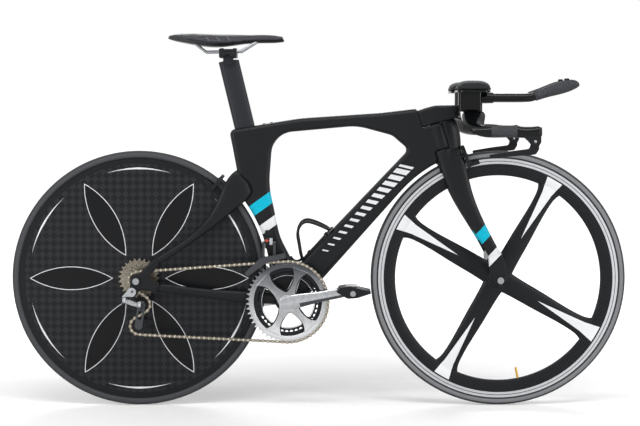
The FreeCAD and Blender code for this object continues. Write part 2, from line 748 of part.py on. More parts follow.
def stem(cuts):
    """Stem: fills the pocket behind the head tube and holds the base bar."""
    outline = [
        (-48, HEAD_TUBE_HEIGHT, 0), (-48, STEM_TOP, 0), (-6, STEM_TOP + 1, 60), (14, STEM_TOP, 60),
        (BAR_FORWARD - 12, BAR_UP + 24, 30), (BAR_FORWARD + 6, BAR_UP + 13, 8),
        (BAR_FORWARD + 6, BAR_UP - 11, 8), (BAR_FORWARD - 22, BAR_UP - 15, 20),
        (BAR_FORWARD - 40, HEAD_TUBE_HEIGHT, 20),
    ]
    corners = [(in_head(v, u), radius) for v, u, radius in outline]
    body = plate(corners, -STEM_HALF_WIDTH, STEM_HALF_WIDTH)
    edges = []
    for edge in body.Edges:
        middle = edge.valueAt((edge.FirstParameter + edge.LastParameter) / 2) - CROWN_RACE
        on_top = middle.dot(STEER_UP) > HEAD_TUBE_HEIGHT + 4 and middle.dot(STEER_FORWARD) > -45
        if abs(middle.y) > STEM_HALF_WIDTH - 0.1 and on_top and middle.dot(STEER_FORWARD) < BAR_FORWARD + 5:
            edges.append(edge)
    body = body.makeFillet(7, edges)
    room = rod(in_head(0, 0), in_head(0, 2 * STEM_TOP), STEM_RADIUS)
    front = box(at(0, -60, 0), at(200, 60, 2 * STEM_TOP))
    front.Placement = FreeCAD.Placement(CROWN_RACE, FreeCAD.Rotation(STEER_FORWARD, Y_AXIS, STEER_UP, "XZY"))
    body = body.common(room.fuse(front))
    pieces = body.cut(cuts).Solids
    return max(pieces, key=lambda piece: piece.Volume)


CUP_BOTTOM = EXTENSION_HEIGHT + EXTENSION_RADIUS + 2.0
PAD_CENTRE_X = BAR_CENTRE.x + 1
EXTENSION_SLOPE = math.radians(EXTENSION_TILT)
EXTENSION_ALONG = at(math.cos(EXTENSION_SLOPE), 0, math.sin(EXTENSION_SLOPE))
EXTENSION_UP = at(-EXTENSION_ALONG.z, 0, EXTENSION_ALONG.x)


def swept(points, bend, radius):
    """Round tube along straight runs joined by tangent arcs."""
    edges = []
    start = points[0]
    for before, corner, after in zip(points, points[1:], points[2:]):
        back = (before - corner).normalize()
        ahead = (after - corner).normalize()
        half = back.getAngle(ahead) / 2
        reach = bend / math.tan(half)
        middle = corner + (back + ahead).normalize() * (bend / math.sin(half) - bend)
        edges.append(Part.LineSegment(start, corner + back * reach).toShape())
        edges.append(Part.Arc(corner + back * reach, middle, corner + ahead * reach).toShape())
        start = corner + ahead * reach
    edges.append(Part.LineSegment(start, points[-1]).toShape())
    circle = Part.Wire(Part.Circle(points[0], points[1] - points[0], radius).toShape())
    return Part.Wire(edges).makePipeShell([circle], True, True)


def on_extension(side, along, up=0.0):
    """Point on a raised end: a distance past the bend and a height over the tube's axis."""
    bend = at(BAR_CENTRE.x + EXTENSION_REACH, side * EXTENSION_SPACING / 2, EXTENSION_HEIGHT)
    return bend + EXTENSION_ALONG * along + EXTENSION_UP * up


def extensions():
    """Two extension tubes, bent up towards their tips."""
    tubes = []
    for side in (-1, 1):
        start = at(BAR_CENTRE.x - RISER_LENGTH / 2 + 4, side * EXTENSION_SPACING / 2, EXTENSION_HEIGHT)
        points = [start, on_extension(side, 0), on_extension(side, EXTENSION_RUN)]
        tubes.append(swept(points, EXTENSION_BEND, EXTENSION_RADIUS))
    return group(tubes)


def button_block(side, grow):
    """Block of a shift button; a grown block is its pocket, deeper by the button's travel."""
    middle = on_extension(side, BUTTON_PLACE)
    travel = BUTTON_TRAVEL if grow else 0
    low = middle + at(-BUTTON_HALF_LENGTH - grow, -BUTTON_HALF_WIDTH - grow, BUTTON_FOOT - travel - grow)
    high = middle + at(BUTTON_HALF_LENGTH + grow, BUTTON_HALF_WIDTH + grow, BUTTON_FACE)
    return box(low, high)


def shift_button(side):
    """Push button on a shifter pod."""
    block = button_block(side, 0)
    rim = block.CenterOfMass.z + 0.4 * (BUTTON_FACE - BUTTON_FOOT)
    return block.makeFillet(2, [edge for edge in block.Edges if edge.CenterOfMass.z > rim])


def shifter_pods(cuts):
    """Grips on the raised ends that swell into the shifter bodies, with a pocket for the button."""
    pods = []
    for side in (-1, 1):
        sections = []
        for along, up, tall, wide in POD_RINGS:
            sections.append(oval(on_extension(side, along, up), Y_AXIS * wide, EXTENSION_UP * tall))
        pods.append(loft(sections).cut([button_block(side, CLEARANCE)] + cuts))
    return group(pods)


def arm_rests(cuts):
    """Risers on the base bar with the extension clamps, and a cup for each forearm."""
    rests = []
    for side in (-1, 1):
        y = side * EXTENSION_SPACING / 2
        low = BAR_CENTRE.z
        riser = box(
            at(BAR_CENTRE.x - RISER_LENGTH / 2, y - RISER_WIDTH / 2, low),
            at(BAR_CENTRE.x + RISER_LENGTH / 2, y + RISER_WIDTH / 2, CUP_BOTTOM),
        )
        riser = riser.makeFillet(9, [edge for edge in riser.Edges if abs(edge.tangentAt(0).z) > 0.9])
        clamp = rod(
            at(BAR_CENTRE.x + RISER_LENGTH / 2 - 2, y, EXTENSION_HEIGHT),
            at(BAR_CENTRE.x + RISER_LENGTH / 2 + 28, y, EXTENSION_HEIGHT),
            EXTENSION_RADIUS + 3,
        )
        near = y - side * RISER_WIDTH / 2
        far = side * (PAD_SPACING / 2 + PAD_WIDTH / 2 - 2)
        cup = box(
            at(PAD_CENTRE_X - PAD_LENGTH / 2 + 2, min(near, far), CUP_BOTTOM),
            at(PAD_CENTRE_X + PAD_LENGTH / 2 - 2, max(near, far), CUP_BOTTOM + CUP_THICKNESS),
        )
        cup = cup.makeFillet(20, [edge for edge in cup.Edges if abs(edge.tangentAt(0).z) > 0.9])
        body = joined([riser, clamp, cup]).cut(cuts)
        rests.append(max(body.Solids, key=lambda piece: piece.Volume))
    return group(rests)


def arm_pads():
    """Two foam forearm pads, crowned and drawn in at the ends."""
    shares = [(0, 0.7, 0.55), (0.12, 0.95, 0.85), (0.5, 1.0, 1.0), (0.88, 0.95, 0.85), (1, 0.7, 0.55)]
    pads = []
    for side in (-1, 1):
        sections = []
        for share, wide, tall in shares:
            x = PAD_CENTRE_X + (share - 0.5) * PAD_LENGTH
            low = CUP_BOTTOM + CUP_THICKNESS + CLEARANCE
            top = low + tall * PAD_HEIGHT
            section = cushion_section(x, wide * PAD_WIDTH / 2, top, low, 0.3 * PAD_HEIGHT)
            section.translate(Y_AXIS * side * PAD_SPACING / 2)
            sections.append(section)
        pads.append(loft(sections))
    return group(pads)


LEVER_PIVOT = at(HORN_TIP - 8, 0, HORN_HEIGHT - 24)


def lever_brackets(cuts):
    """End plugs of the horns; each carries two cheeks and a pin for a brake lever."""
    brackets = []
    for side in (-1, 1):
        y = side * BAR_WIDTH / 2
        stations = [(0, 0.92), (8, 0.76)]
        ovals = []
        for ahead, share in stations:
            wide = Y_AXIS * HORN_HALF_WIDTH * share
            ovals.append(oval(at(HORN_TIP + ahead, y, HORN_HEIGHT), wide, Z_AXIS * HORN_HALF_HEIGHT * share))
        pieces = [loft(ovals)]
        for turn in (-1, 1):
            inner = y + turn * (LEVER_HALF_WIDTH + CLEARANCE)
            outer = y + turn * (LEVER_HALF_WIDTH + 4)
            corners = [(at(HORN_TIP + x, 0, HORN_HEIGHT + z), 3) for x, z in CHEEK_OUTLINE]
            cheek = plate(corners, min(inner, outer), max(inner, outer)).cut(cuts)
            pieces.append(max(cheek.Solids, key=lambda piece: piece.Volume))
        reach = LEVER_HALF_WIDTH + 3
        pieces.append(cross_rod(LEVER_PIVOT, y - reach, y + reach, LEVER_PIN))
        brackets.append(joined(pieces))
    return group(brackets)


def brake_lever(side):
    """Brake lever: hangs below a horn and points back to the fingers."""
    x = LEVER_PIVOT.x
    z = LEVER_PIVOT.z
    outline = [
        (x - 7, z + 7, 6), (x + 7, z + 7, 6), (x + 10, z - 18, 9), (x + 2, z - 32, 9), (x - 16, z - 34, 12),
        (x - 60, z - 37, 40), (x - 112, z - 42, 4), (x - 114, z - 33, 4), (x - 60, z - 24, 40), (x - 14, z - 18, 8),
    ]
    corners = [(at(px, 0, pz), radius) for px, pz, radius in outline]
    y = side * BAR_WIDTH / 2
    blade = plate(corners, y - LEVER_HALF_WIDTH, y + LEVER_HALF_WIDTH)
    return blade.cut(cross_rod(LEVER_PIVOT, y - 20, y + 20, LEVER_PIN + RUNNING_FIT))


def brake_arm(centre, radial, axial, station, side, rise):
    """Brake arm with its pad: turns on a stud beside the tyre and reaches down to the rim."""
    track = RIM_RADIUS - BRAKE_TRACK_HEIGHT / 2
    face = RIM_WIDTH / 2 + PAD_GAP
    outline = [
        (face + 3.5, track - 7), (face + 11, track - 7),
        (STUD_SIDE + 7, STUD_RISE), (STUD_SIDE + 3, STUD_RISE + rise / 2),
        (14, STUD_RISE + rise), (5, STUD_RISE + rise - 2), (5, STUD_RISE + rise - 9),
        (STUD_SIDE - 7, STUD_RISE + 7),
        (STUD_SIDE - 7, STUD_RISE - 6), (face + 3.5, track + 7),
    ]
    origin = centre + axial * station
    points = [(origin + radial * high + Y_AXIS * side * wide, 2) for wide, high in outline]
    body = Part.Face(rounded_wire(points)).extrude(axial * 8)
    pad = [(face, track - 6), (face + 4.5, track - 6), (face + 4.5, track + 6), (face, track + 6)]
    points = [(origin + radial * high + Y_AXIS * side * wide, 1) for wide, high in pad]
    body = body.fuse(Part.Face(rounded_wire(points)).extrude(axial * 34))
    middle = origin + radial * STUD_RISE + Y_AXIS * side * STUD_SIDE
    return body.cut(rod(middle - axial, middle + axial * 12, STUD_RADIUS + RUNNING_FIT))


REAR_BRAKE_OUT = on_circle(at(0, 0, 0), 1.0, REAR_BRAKE_ANGLE)
REAR_BRAKE_AXIS = at(-REAR_BRAKE_OUT.z, 0, REAR_BRAKE_OUT.x)


def front_brake_arm(side):
    reach = FRONT_BRAKE_REACH - FORK_RAKE - 4
    return brake_arm(FRONT_AXLE, STEER_UP, STEER_FORWARD, reach, side, FRONT_ARM_RISE)


def rear_brake_arm(side):
    return brake_arm(REAR_AXLE, REAR_BRAKE_OUT, REAR_BRAKE_AXIS, 0.0, side, REAR_ARM_RISE)


def rear_studs():
    """Brake studs that stand on the seatstays."""
    studs = []
    for side in (-1, 1):
        middle = REAR_AXLE + REAR_BRAKE_OUT * STUD_RISE + Y_AXIS * side * STUD_SIDE
        studs.append(rod(middle - REAR_BRAKE_AXIS * 30, middle + REAR_BRAKE_AXIS * 10, STUD_RADIUS))
    return studs


def tyre(centre):
    """Narrow road tyre, open where it sits on the rim."""
    ring = Part.makeTorus(TYRE_RADIUS - TYRE_WIDTH / 2, TYRE_WIDTH / 2, centre, Y_AXIS)
    return ring.cut(cross_rod(centre, -TYRE_WIDTH, TYRE_WIDTH, RIM_RADIUS))


HUB_HALF_WIDTH = FRONT_DROPOUT_SPACING / 2 - 4


def front_brake_track():
    """Machined braking bands on both sides of the rim."""
    inner = RIM_RADIUS - BRAKE_TRACK_HEIGHT
    outer = RIM_WIDTH / 2
    return group(
        [
            cross_tube(FRONT_AXLE, outer - TRACK_THICKNESS, outer, RIM_RADIUS, inner),
            cross_tube(FRONT_AXLE, -outer, TRACK_THICKNESS - outer, RIM_RADIUS, inner),
        ]
    )


def front_wheel_shell():
    """Moulded four spoke wheel: deep rim, flat spokes and hub in one piece."""
    half = RIM_WIDTH / 2
    track = RIM_RADIUS - BRAKE_TRACK_HEIGHT
    bed = half - TRACK_THICKNESS
    nose = RIM_RADIUS - RIM_DEPTH

    def rim(radius, y):
        return FRONT_AXLE + at(radius, y, 0)

    edges = [
        Part.LineSegment(rim(RIM_RADIUS, -bed), rim(RIM_RADIUS, bed)),
        Part.LineSegment(rim(RIM_RADIUS, bed), rim(track, bed)),
        Part.LineSegment(rim(track, bed), rim(track, half)),
        Part.Arc(rim(track, half), rim((track + nose) / 2 + 2, half * 0.95), rim(nose + 5, half * 0.6)),
        Part.Arc(rim(nose + 5, half * 0.6), rim(nose, 0), rim(nose + 5, -half * 0.6)),
        Part.Arc(rim(nose + 5, -half * 0.6), rim((track + nose) / 2 + 2, -half * 0.95), rim(track, -half)),
        Part.LineSegment(rim(track, -half), rim(track, -bed)),
        Part.LineSegment(rim(track, -bed), rim(RIM_RADIUS, -bed)),
    ]
    face = Part.Face(Part.Wire([edge.toShape() for edge in edges]))
    body = face.revolve(FRONT_AXLE, Y_AXIS, 360)
    hub = turned(
        [
            (AXLE_RADIUS + 2, -HUB_HALF_WIDTH), (HUB_BEARING_RADIUS + 3, -HUB_HALF_WIDTH),
            (HUB_BEARING_RADIUS + 4, -20), (FRONT_HUB_RADIUS, -12), (FRONT_HUB_RADIUS, 12),
            (HUB_BEARING_RADIUS + 4, 20), (HUB_BEARING_RADIUS + 3, HUB_HALF_WIDTH),
            (AXLE_RADIUS + 2, HUB_HALF_WIDTH),
        ],
        FRONT_AXLE,
    )
    body = body.fuse(hub)
    spread = [
        (FRONT_HUB_RADIUS - 9, 1.2, 0.6), (FRONT_HUB_RADIUS + 34, 1.08, 0.55), (nose - 119, 1.0, 0.5),
        (nose - 46, 0.96, 0.46), (nose - 14, 1.12, 0.42), (nose + 8, 1.7, 0.34),
    ]
    for index in range(SPOKE_COUNT):
        turn = math.radians(FIRST_SPOKE + 360 * index / SPOKE_COUNT)
        out = at(math.cos(turn), 0, math.sin(turn))
        across = at(-out.z, 0, out.x)
        sections = []
        for radius, wide, thick in spread:
            broad = across * (wide * SPOKE_WIDTH / 2)
            sections.append(oval(FRONT_AXLE + out * radius, broad, Y_AXIS * (thick * SPOKE_THICKNESS)))
        body = body.fuse(loft(sections))
    bore = cross_rod(FRONT_AXLE, -HUB_HALF_WIDTH - 1, HUB_HALF_WIDTH + 1, AXLE_RADIUS + 2)
    seats = []
    for side in (-1, 1):
        inner = side * (HUB_HALF_WIDTH - BEARING_WIDTH)
        outer = side * (HUB_HALF_WIDTH + 1)
        seats.append(cross_rod(FRONT_AXLE, min(inner, outer), max(inner, outer), HUB_BEARING_RADIUS))
    valve = on_circle(FRONT_AXLE, RIM_RADIUS, VALVE_ANGLE)
    hole = rod(valve, FRONT_AXLE + (valve - FRONT_AXLE) * 0.8, VALVE_RADIUS)
    return body.cut([bore, hole] + seats)


def front_valve():
    """Brass valve stem through the rim."""
    out = on_circle(at(0, 0, 0), 1.0, VALVE_ANGLE)
    base = FRONT_AXLE + out * (RIM_RADIUS - 1)
    stem_end = base - out * VALVE_LENGTH
    return rod(base, stem_end, VALVE_RADIUS)


def hub_bearings(centre, half):
    rings = []
    for side in (-1, 1):
        low = side * half - (BEARING_WIDTH if side > 0 else 0)
        bore = AXLE_RADIUS + RUNNING_FIT
        rings.append(cross_tube(centre, low, low + BEARING_WIDTH, HUB_BEARING_RADIUS, bore))
    return group(rings)


def axle(centre, half, thickness):
    """Axle with its skewer: locknuts between the dropouts, a nut outside and a cam boss."""
    end = half + thickness
    body = joined(
        [
            cross_rod(centre, -half, half, AXLE_RADIUS),
            cross_rod(centre, -end, end, AXLE_END_RADIUS),
            cross_rod(centre, -end - NUT_LENGTH, -end, NUT_RADIUS),
            cross_rod(centre, end, end + NUT_LENGTH + 6, CAM_RADIUS),
        ]
    )
    slot = box(centre + at(-3, end + 3, -20), centre + at(3, end + NUT_LENGTH + 7, 20))
    return body.cut([slot, rod(cam_centre(centre, half, thickness) - X_AXIS * 20,
                               cam_centre(centre, half, thickness) + X_AXIS * 20, CAM_PIN)])


def cam_centre(centre, half, thickness):
    return centre + at(0, half + thickness + NUT_LENGTH, 0)


def quick_release(centre, half, thickness):
    """Cam lever: turns on its own pin across the skewer's boss."""
    middle = cam_centre(centre, half, thickness)
    pin = rod(middle - X_AXIS * (CAM_RADIUS + 1), middle + X_AXIS * (CAM_RADIUS + 1), CAM_PIN - RUNNING_FIT)
    cam = rod(middle - X_AXIS * 2.6, middle + X_AXIS * 2.6, 5.5)
    handle = loft(
        [
            oval(middle + at(0, 3, 2), X_AXIS * 2.3, Y_AXIS * 2.5),
            oval(middle + at(0, 6, 11), X_AXIS * 2.4, Y_AXIS * 2.5),
            oval(middle + at(0, 7, 20), X_AXIS * 5, Y_AXIS * 2.5),
            oval(middle + at(0, 6, 52), X_AXIS * 7, Y_AXIS * 2.2),
            oval(middle + at(0, 5, 58), X_AXIS * 4, Y_AXIS * 1.5),
        ]
    )
    return joined([cam, pin, handle])


def rear_disc():
    """Hollow disc wheel: flat skin on the drive side, domed skin on the other, joined at the rim."""
    half = RIM_WIDTH / 2
    track = RIM_RADIUS - BRAKE_TRACK_HEIGHT

    def point(radius, y):
        return REAR_AXLE + at(radius, y, 0)

    def bulge(radius):
        share = (track - radius) / (track - REAR_HUB_RADIUS)
        return half + (DISC_BULGE - half) * (0.75 * share + 0.25 * share * share)

    middle = (track + REAR_HUB_RADIUS) / 2
    low = track - 4
    edges = [
        Part.LineSegment(point(REAR_HUB_RADIUS, -DISC_DRIVE_FACE), point(track, -half)),
        Part.LineSegment(point(track, -half), point(RIM_RADIUS, -half)),
        Part.LineSegment(point(RIM_RADIUS, -half), point(RIM_RADIUS, half)),
        Part.LineSegment(point(RIM_RADIUS, half), point(track, half)),
        Part.Arc(point(track, half), point(middle, bulge(middle)), point(REAR_HUB_RADIUS, DISC_BULGE)),
        Part.LineSegment(point(REAR_HUB_RADIUS, DISC_BULGE), point(REAR_HUB_RADIUS, DISC_BULGE - SKIN)),
        Part.Arc(
            point(REAR_HUB_RADIUS, DISC_BULGE - SKIN),
            point(middle, bulge(middle) - SKIN),
            point(low, half - SKIN),
        ),
        Part.LineSegment(point(low, half - SKIN), point(low, SKIN - half)),
        Part.LineSegment(point(low, SKIN - half), point(REAR_HUB_RADIUS, SKIN - DISC_DRIVE_FACE)),
        Part.LineSegment(
            point(REAR_HUB_RADIUS, SKIN - DISC_DRIVE_FACE), point(REAR_HUB_RADIUS, -DISC_DRIVE_FACE)
        ),
    ]
    face = Part.Face(Part.Wire([edge.toShape() for edge in edges]))
    return face.revolve(REAR_AXLE, Y_AXIS, 360)


def rear_hub_shell():
    """Hub barrel that fills the middle of the disc."""
    seat = HUB_BEARING_RADIUS
    return turned(
        [
            (seat, -DISC_DRIVE_FACE), (REAR_HUB_RADIUS, -DISC_DRIVE_FACE), (REAR_HUB_RADIUS, DISC_BULGE),
            (seat + 4, DISC_BULGE + 4), (seat + 3, REAR_HUB_END), (seat, REAR_HUB_END),
            (seat, REAR_HUB_END - BEARING_WIDTH), (AXLE_RADIUS + 2, REAR_HUB_END - BEARING_WIDTH),
            (AXLE_RADIUS + 2, BEARING_WIDTH - DISC_DRIVE_FACE), (seat, BEARING_WIDTH - DISC_DRIVE_FACE),
        ],
        REAR_AXLE,
    )


def rear_hub_bearings():
    rings = []
    for low in (-DISC_DRIVE_FACE, REAR_HUB_END - BEARING_WIDTH):
        bore = AXLE_RADIUS + RUNNING_FIT
        rings.append(cross_tube(REAR_AXLE, low, low + BEARING_WIDTH, HUB_BEARING_RADIUS, bore))
    return group(rings)


TOOTH_SEAT = ROLLER_RADIUS + 0.45
FREEHUB_INNER = DISC_DRIVE_FACE + 1.0
FREEHUB_OUTER = OUTER_COG_OFFSET + 3.0


def pitch_radius(teeth):
    return CHAIN_PITCH / (2 * math.sin(math.pi / teeth))


def sprocket(centre, teeth, phase, y_middle, thickness, bore):
    """Toothed wheel with a round seat for each roller; phase is the angle of one seat."""
    pitch = pitch_radius(teeth)
    tip = pitch + TOOTH_HEIGHT
    swing = math.degrees(2 * math.asin(TOOTH_SEAT / (2 * pitch)))
    point = math.degrees(TOOTH_TIP / (2 * tip))
    edges = []
    for index in range(teeth):
        angle = phase + 360 * index / teeth
        between = angle + 180 / teeth
        start = on_circle(centre, pitch, angle - swing)
        flank = [
            on_circle(centre, pitch, angle + swing),
            on_circle(centre, tip, between - point),
            on_circle(centre, tip, between + point),
            on_circle(centre, pitch, angle + 360 / teeth - swing),
        ]
        edges.append(Part.Arc(start, on_circle(centre, pitch - TOOTH_SEAT, angle), flank[0]).toShape())
        for low, high in zip(flank, flank[1:]):
            edges.append(Part.LineSegment(low, high).toShape())
    face = Part.Face(Part.Wire(edges))
    face.translate(Y_AXIS * (y_middle - thickness / 2))
    wheel = face.extrude(Y_AXIS * thickness)
    return wheel.cut(cross_rod(centre, y_middle - thickness, y_middle + thickness, bore))


def cassette_cogs(phase):
    """Eleven separate sprockets on the freehub."""
    cogs = []
    for index, teeth in enumerate(COG_TEETH):
        y = -OUTER_COG_OFFSET + index * COG_SPACING
        cogs.append(sprocket(REAR_AXLE, teeth, phase, y, COG_THICKNESS, FREEHUB_RADIUS))
    return group(cogs)


def freehub_body():
    """Freehub barrel with spacer rings between the cogs and a lockring outside."""
    barrel = cross_tube(REAR_AXLE, -FREEHUB_OUTER, -FREEHUB_INNER, FREEHUB_RADIUS, AXLE_RADIUS + RUNNING_FIT)
    spacers = []
    for index in range(len(COG_TEETH) - 1):
        low = -OUTER_COG_OFFSET + index * COG_SPACING + COG_THICKNESS / 2
        high = low + COG_SPACING - COG_THICKNESS
        spacers.append(cross_tube(REAR_AXLE, low, high, FREEHUB_RADIUS + 1, FREEHUB_RADIUS - 1))
    return joined([barrel] + spacers)


GUIDE_PULLEY = REAR_AXLE + at(12, -OUTER_COG_OFFSET, -62)


def flat(point):
    return at(point.x, 0, point.z)


def belt_run(first, first_radius, first_turn, second, second_radius, second_turn):
    """Straight run of chain between two sprockets; a turn is 1 clockwise or -1 the other way."""
    gap = flat(second) - flat(first)
    lean = math.atan2(gap.z, gap.x)
    offset = first_radius * first_turn - second_radius * second_turn
    lean -= math.asin(offset / gap.Length)
    left = at(-math.sin(lean), 0, math.cos(lean))
    start = first + left * (first_radius * first_turn)
    end = second + left * (second_radius * second_turn)
    return start, end


def chain_segments(tension):
    """Chain loop as runs and wraps, each with its length counted in links."""
    ring = BOTTOM_BRACKET - Y_AXIS * BIG_RING_OFFSET
    cog = REAR_AXLE - Y_AXIS * OUTER_COG_OFFSET
    wheels = [
        (cog, COG_TEETH[0], 1), (ring, BIG_RING_TEETH, 1),
        (tension, PULLEY_TEETH, 1), (GUIDE_PULLEY, PULLEY_TEETH, -1),
    ]
    runs = []
    for index, (centre, teeth, turn) in enumerate(wheels):
        after, after_teeth, after_turn = wheels[(index + 1) % len(wheels)]
        runs.append(belt_run(centre, pitch_radius(teeth), turn, after, pitch_radius(after_teeth), after_turn))
    segments = []
    for index, (start, end) in enumerate(runs):
        segments.append(("run", start, end, (end - start).Length / CHAIN_PITCH))
        centre, teeth, turn = wheels[(index + 1) % len(wheels)]
        leave = runs[(index + 1) % len(runs)][0]
        enter_angle = math.atan2(end.z - centre.z, end.x - centre.x)
        leave_angle = math.atan2(leave.z - centre.z, leave.x - centre.x)
        sweep = (turn * (enter_angle - leave_angle)) % math.tau
        segments.append(("wrap", (centre, enter_angle, turn, teeth), None, sweep * teeth / math.tau))
    return segments


def tension_pulley_at(swing):
    turn = math.radians(swing)
    return GUIDE_PULLEY + at(math.cos(turn), 0, math.sin(turn)) * PULLEY_DISTANCE


def settle_cage():
    """Cage angle at which the loop holds a whole, even number of links."""
    def links(swing):
        return sum(segment[3] for segment in chain_segments(tension_pulley_at(swing)))

    wanted = 2 * round(links(258.0) / 2)
    low, high = 225.0, 290.0
    for _ in range(50):
        middle = (low + high) / 2
        if (links(middle) > wanted) == (links(low) > wanted):
            low = middle
        else:
            high = middle
    return low, wanted


CAGE_SWING, CHAIN_LINKS = settle_cage()
TENSION_PULLEY = tension_pulley_at(CAGE_SWING)


def roller_centres():
    """Roller centres round the loop, and the angle of one roller on each sprocket."""
    centres = []
    phases = []
    place = 0.0
    for kind, first, second, count in chain_segments(TENSION_PULLEY):
        first_roller = True
        while place < count - 1e-9 and len(centres) < CHAIN_LINKS:
            if kind == "run":
                share = place / count
                slant = min(max((share - STRAIGHT_SHARE) / (1 - 2 * STRAIGHT_SHARE), 0.0), 1.0)
                point = first + (second - first) * share
                centres.append(at(point.x, first.y + (second.y - first.y) * slant, point.z))
            else:
                centre, enter_angle, turn, teeth = first
                angle = math.degrees(enter_angle - turn * place * math.tau / teeth)
                centres.append(on_circle(centre, pitch_radius(teeth), angle))
                if first_roller:
                    phases.append(angle)
                    first_roller = False
            place += 1.0
        place -= count
    return centres, phases


ROLLERS, PHASES = roller_centres()
RING_PHASE, TENSION_PHASE, GUIDE_PHASE, COG_PHASE = PHASES


def link_plate(y_low, thickness, width):
    """Chain side plate, pinched at its waist."""
    ends = [Part.makeCylinder(width / 2, thickness, at(x, y_low, 0), Y_AXIS) for x in (0, CHAIN_PITCH)]
    waist = box(at(0, y_low, -width * 0.33), at(CHAIN_PITCH, y_low + thickness, width * 0.33))
    return joined(ends + [waist])


def chain():
    """Roller chain: inner links with rollers and outer links with pins, in turn."""
    outer_low = CHAIN_INNER_GAP + CHAIN_PLATE + CHAIN_SIDE_PLAY
    inside = []
    outside = []
    for low in (CHAIN_INNER_GAP, -CHAIN_INNER_GAP - CHAIN_PLATE):
        inside.append(link_plate(low, CHAIN_PLATE, INNER_LINK_HEIGHT))
    for low in (outer_low, -outer_low - CHAIN_PLATE):
        outside.append(link_plate(low, CHAIN_PLATE, OUTER_LINK_HEIGHT))
    rollers = []
    pins = []
    holes = []
    for x in (0, CHAIN_PITCH):
        centre = at(x, 0, 0)
        rollers.append(cross_rod(centre, -CHAIN_INNER_GAP, CHAIN_INNER_GAP, ROLLER_RADIUS))
        pins.append(cross_rod(centre, -outer_low - CHAIN_PLATE, outer_low + CHAIN_PLATE, CHAIN_PIN))
        holes.append(cross_rod(centre, -outer_low, outer_low, CHAIN_PIN + 0.5))
    inner_link = joined(inside + rollers).cut(holes)
    outer_link = joined(outside + pins)
    links = []
    for index, start in enumerate(ROLLERS):
        end = ROLLERS[(index + 1) % len(ROLLERS)]
        along = (end - start).normalize()
        upright = along.cross(Y_AXIS).normalize()
        side = upright.cross(along)
        place = FreeCAD.Matrix(
            along.x, side.x, upright.x, start.x,
            along.y, side.y, upright.y, start.y,
            along.z, side.z, upright.z, start.z,
            0, 0, 0, 1,
        )
        link = (inner_link if index % 2 == 0 else outer_link).copy()
        link.Placement = FreeCAD.Placement(place)
        links.append(link)
    return group(links)


SPIDER_OUTER = BIG_RING_OFFSET - RING_THICKNESS / 2
SPIDER_INNER = BIG_RING_OFFSET - RING_SPACING + RING_THICKNESS / 2


def crank_direction(side):
    return on_circle(at(0, 0, 0), -side, CRANK_ANGLE)


def pedal_centre(side):
    return BOTTOM_BRACKET + crank_direction(side) * CRANK_LENGTH


def spider_direction(turn):
    return on_circle(at(0, 0, 0), 1.0, CRANK_ANGLE + turn)


def tabbed_ring(teeth, y_middle, phase, inner):
    """Chainring: toothed band with a tab on each spider arm."""
    band = sprocket(BOTTOM_BRACKET, teeth, phase, y_middle, RING_THICKNESS, inner)
    for turn in SPIDER_TURNS:
        out = spider_direction(turn)
        eye = BOTTOM_BRACKET + out * BOLT_CIRCLE
        low = y_middle - RING_THICKNESS / 2
        high = y_middle + RING_THICKNESS / 2
        across = at(-out.z, 0, out.x)
        corners = [
            (BOTTOM_BRACKET + out * (BOLT_CIRCLE - 7) - across * 7, 5),
            (BOTTOM_BRACKET + out * (inner + 3) - across * 17, 0),
            (BOTTOM_BRACKET + out * (inner + 3) + across * 17, 0),
            (BOTTOM_BRACKET + out * (BOLT_CIRCLE - 7) + across * 7, 5),
        ]
        band = band.fuse(plate(corners, low, high))
        band = band.cut(cross_rod(eye, low - 1, high + 1, BOLT_RADIUS + 1.5))
    return band


def big_chainring():
    return tabbed_ring(BIG_RING_TEETH, -BIG_RING_OFFSET, RING_PHASE, pitch_radius(BIG_RING_TEETH) - 14)


def small_chainring():
    inner = pitch_radius(SMALL_RING_TEETH) - 9
    return tabbed_ring(SMALL_RING_TEETH, RING_SPACING - BIG_RING_OFFSET, 0.0, inner)


def crank_blade(side):
    """Crank arm from the spindle to the pedal eye, broad at the middle and rounded."""
    out = crank_direction(side)
    across = at(-out.z, 0, out.x)
    middle = side * (PEDAL_FACE - CRANK_THICKNESS / 2)
    sections = []
    shares = [
        (-18, 15, 6), (10, 18, 6.5), (80, 14, 6.3),
        (CRANK_LENGTH - 20, 12.5, 6.2), (CRANK_LENGTH + 11, 8, 5.5),
    ]
    for along, wide, thick in shares:
        centre = BOTTOM_BRACKET + out * along + Y_AXIS * middle
        sections.append(oval(centre, across * wide, Y_AXIS * thick))
    eye = cross_rod(pedal_centre(side), min(middle - 6, middle + 6), max(middle - 6, middle + 6), 13)
    blade = loft(sections).fuse(eye)
    face = side * PEDAL_FACE
    return blade.cut(cross_rod(pedal_centre(side), min(0, 1.2 * face), max(0, 1.2 * face), PEDAL_AXLE_RADIUS))


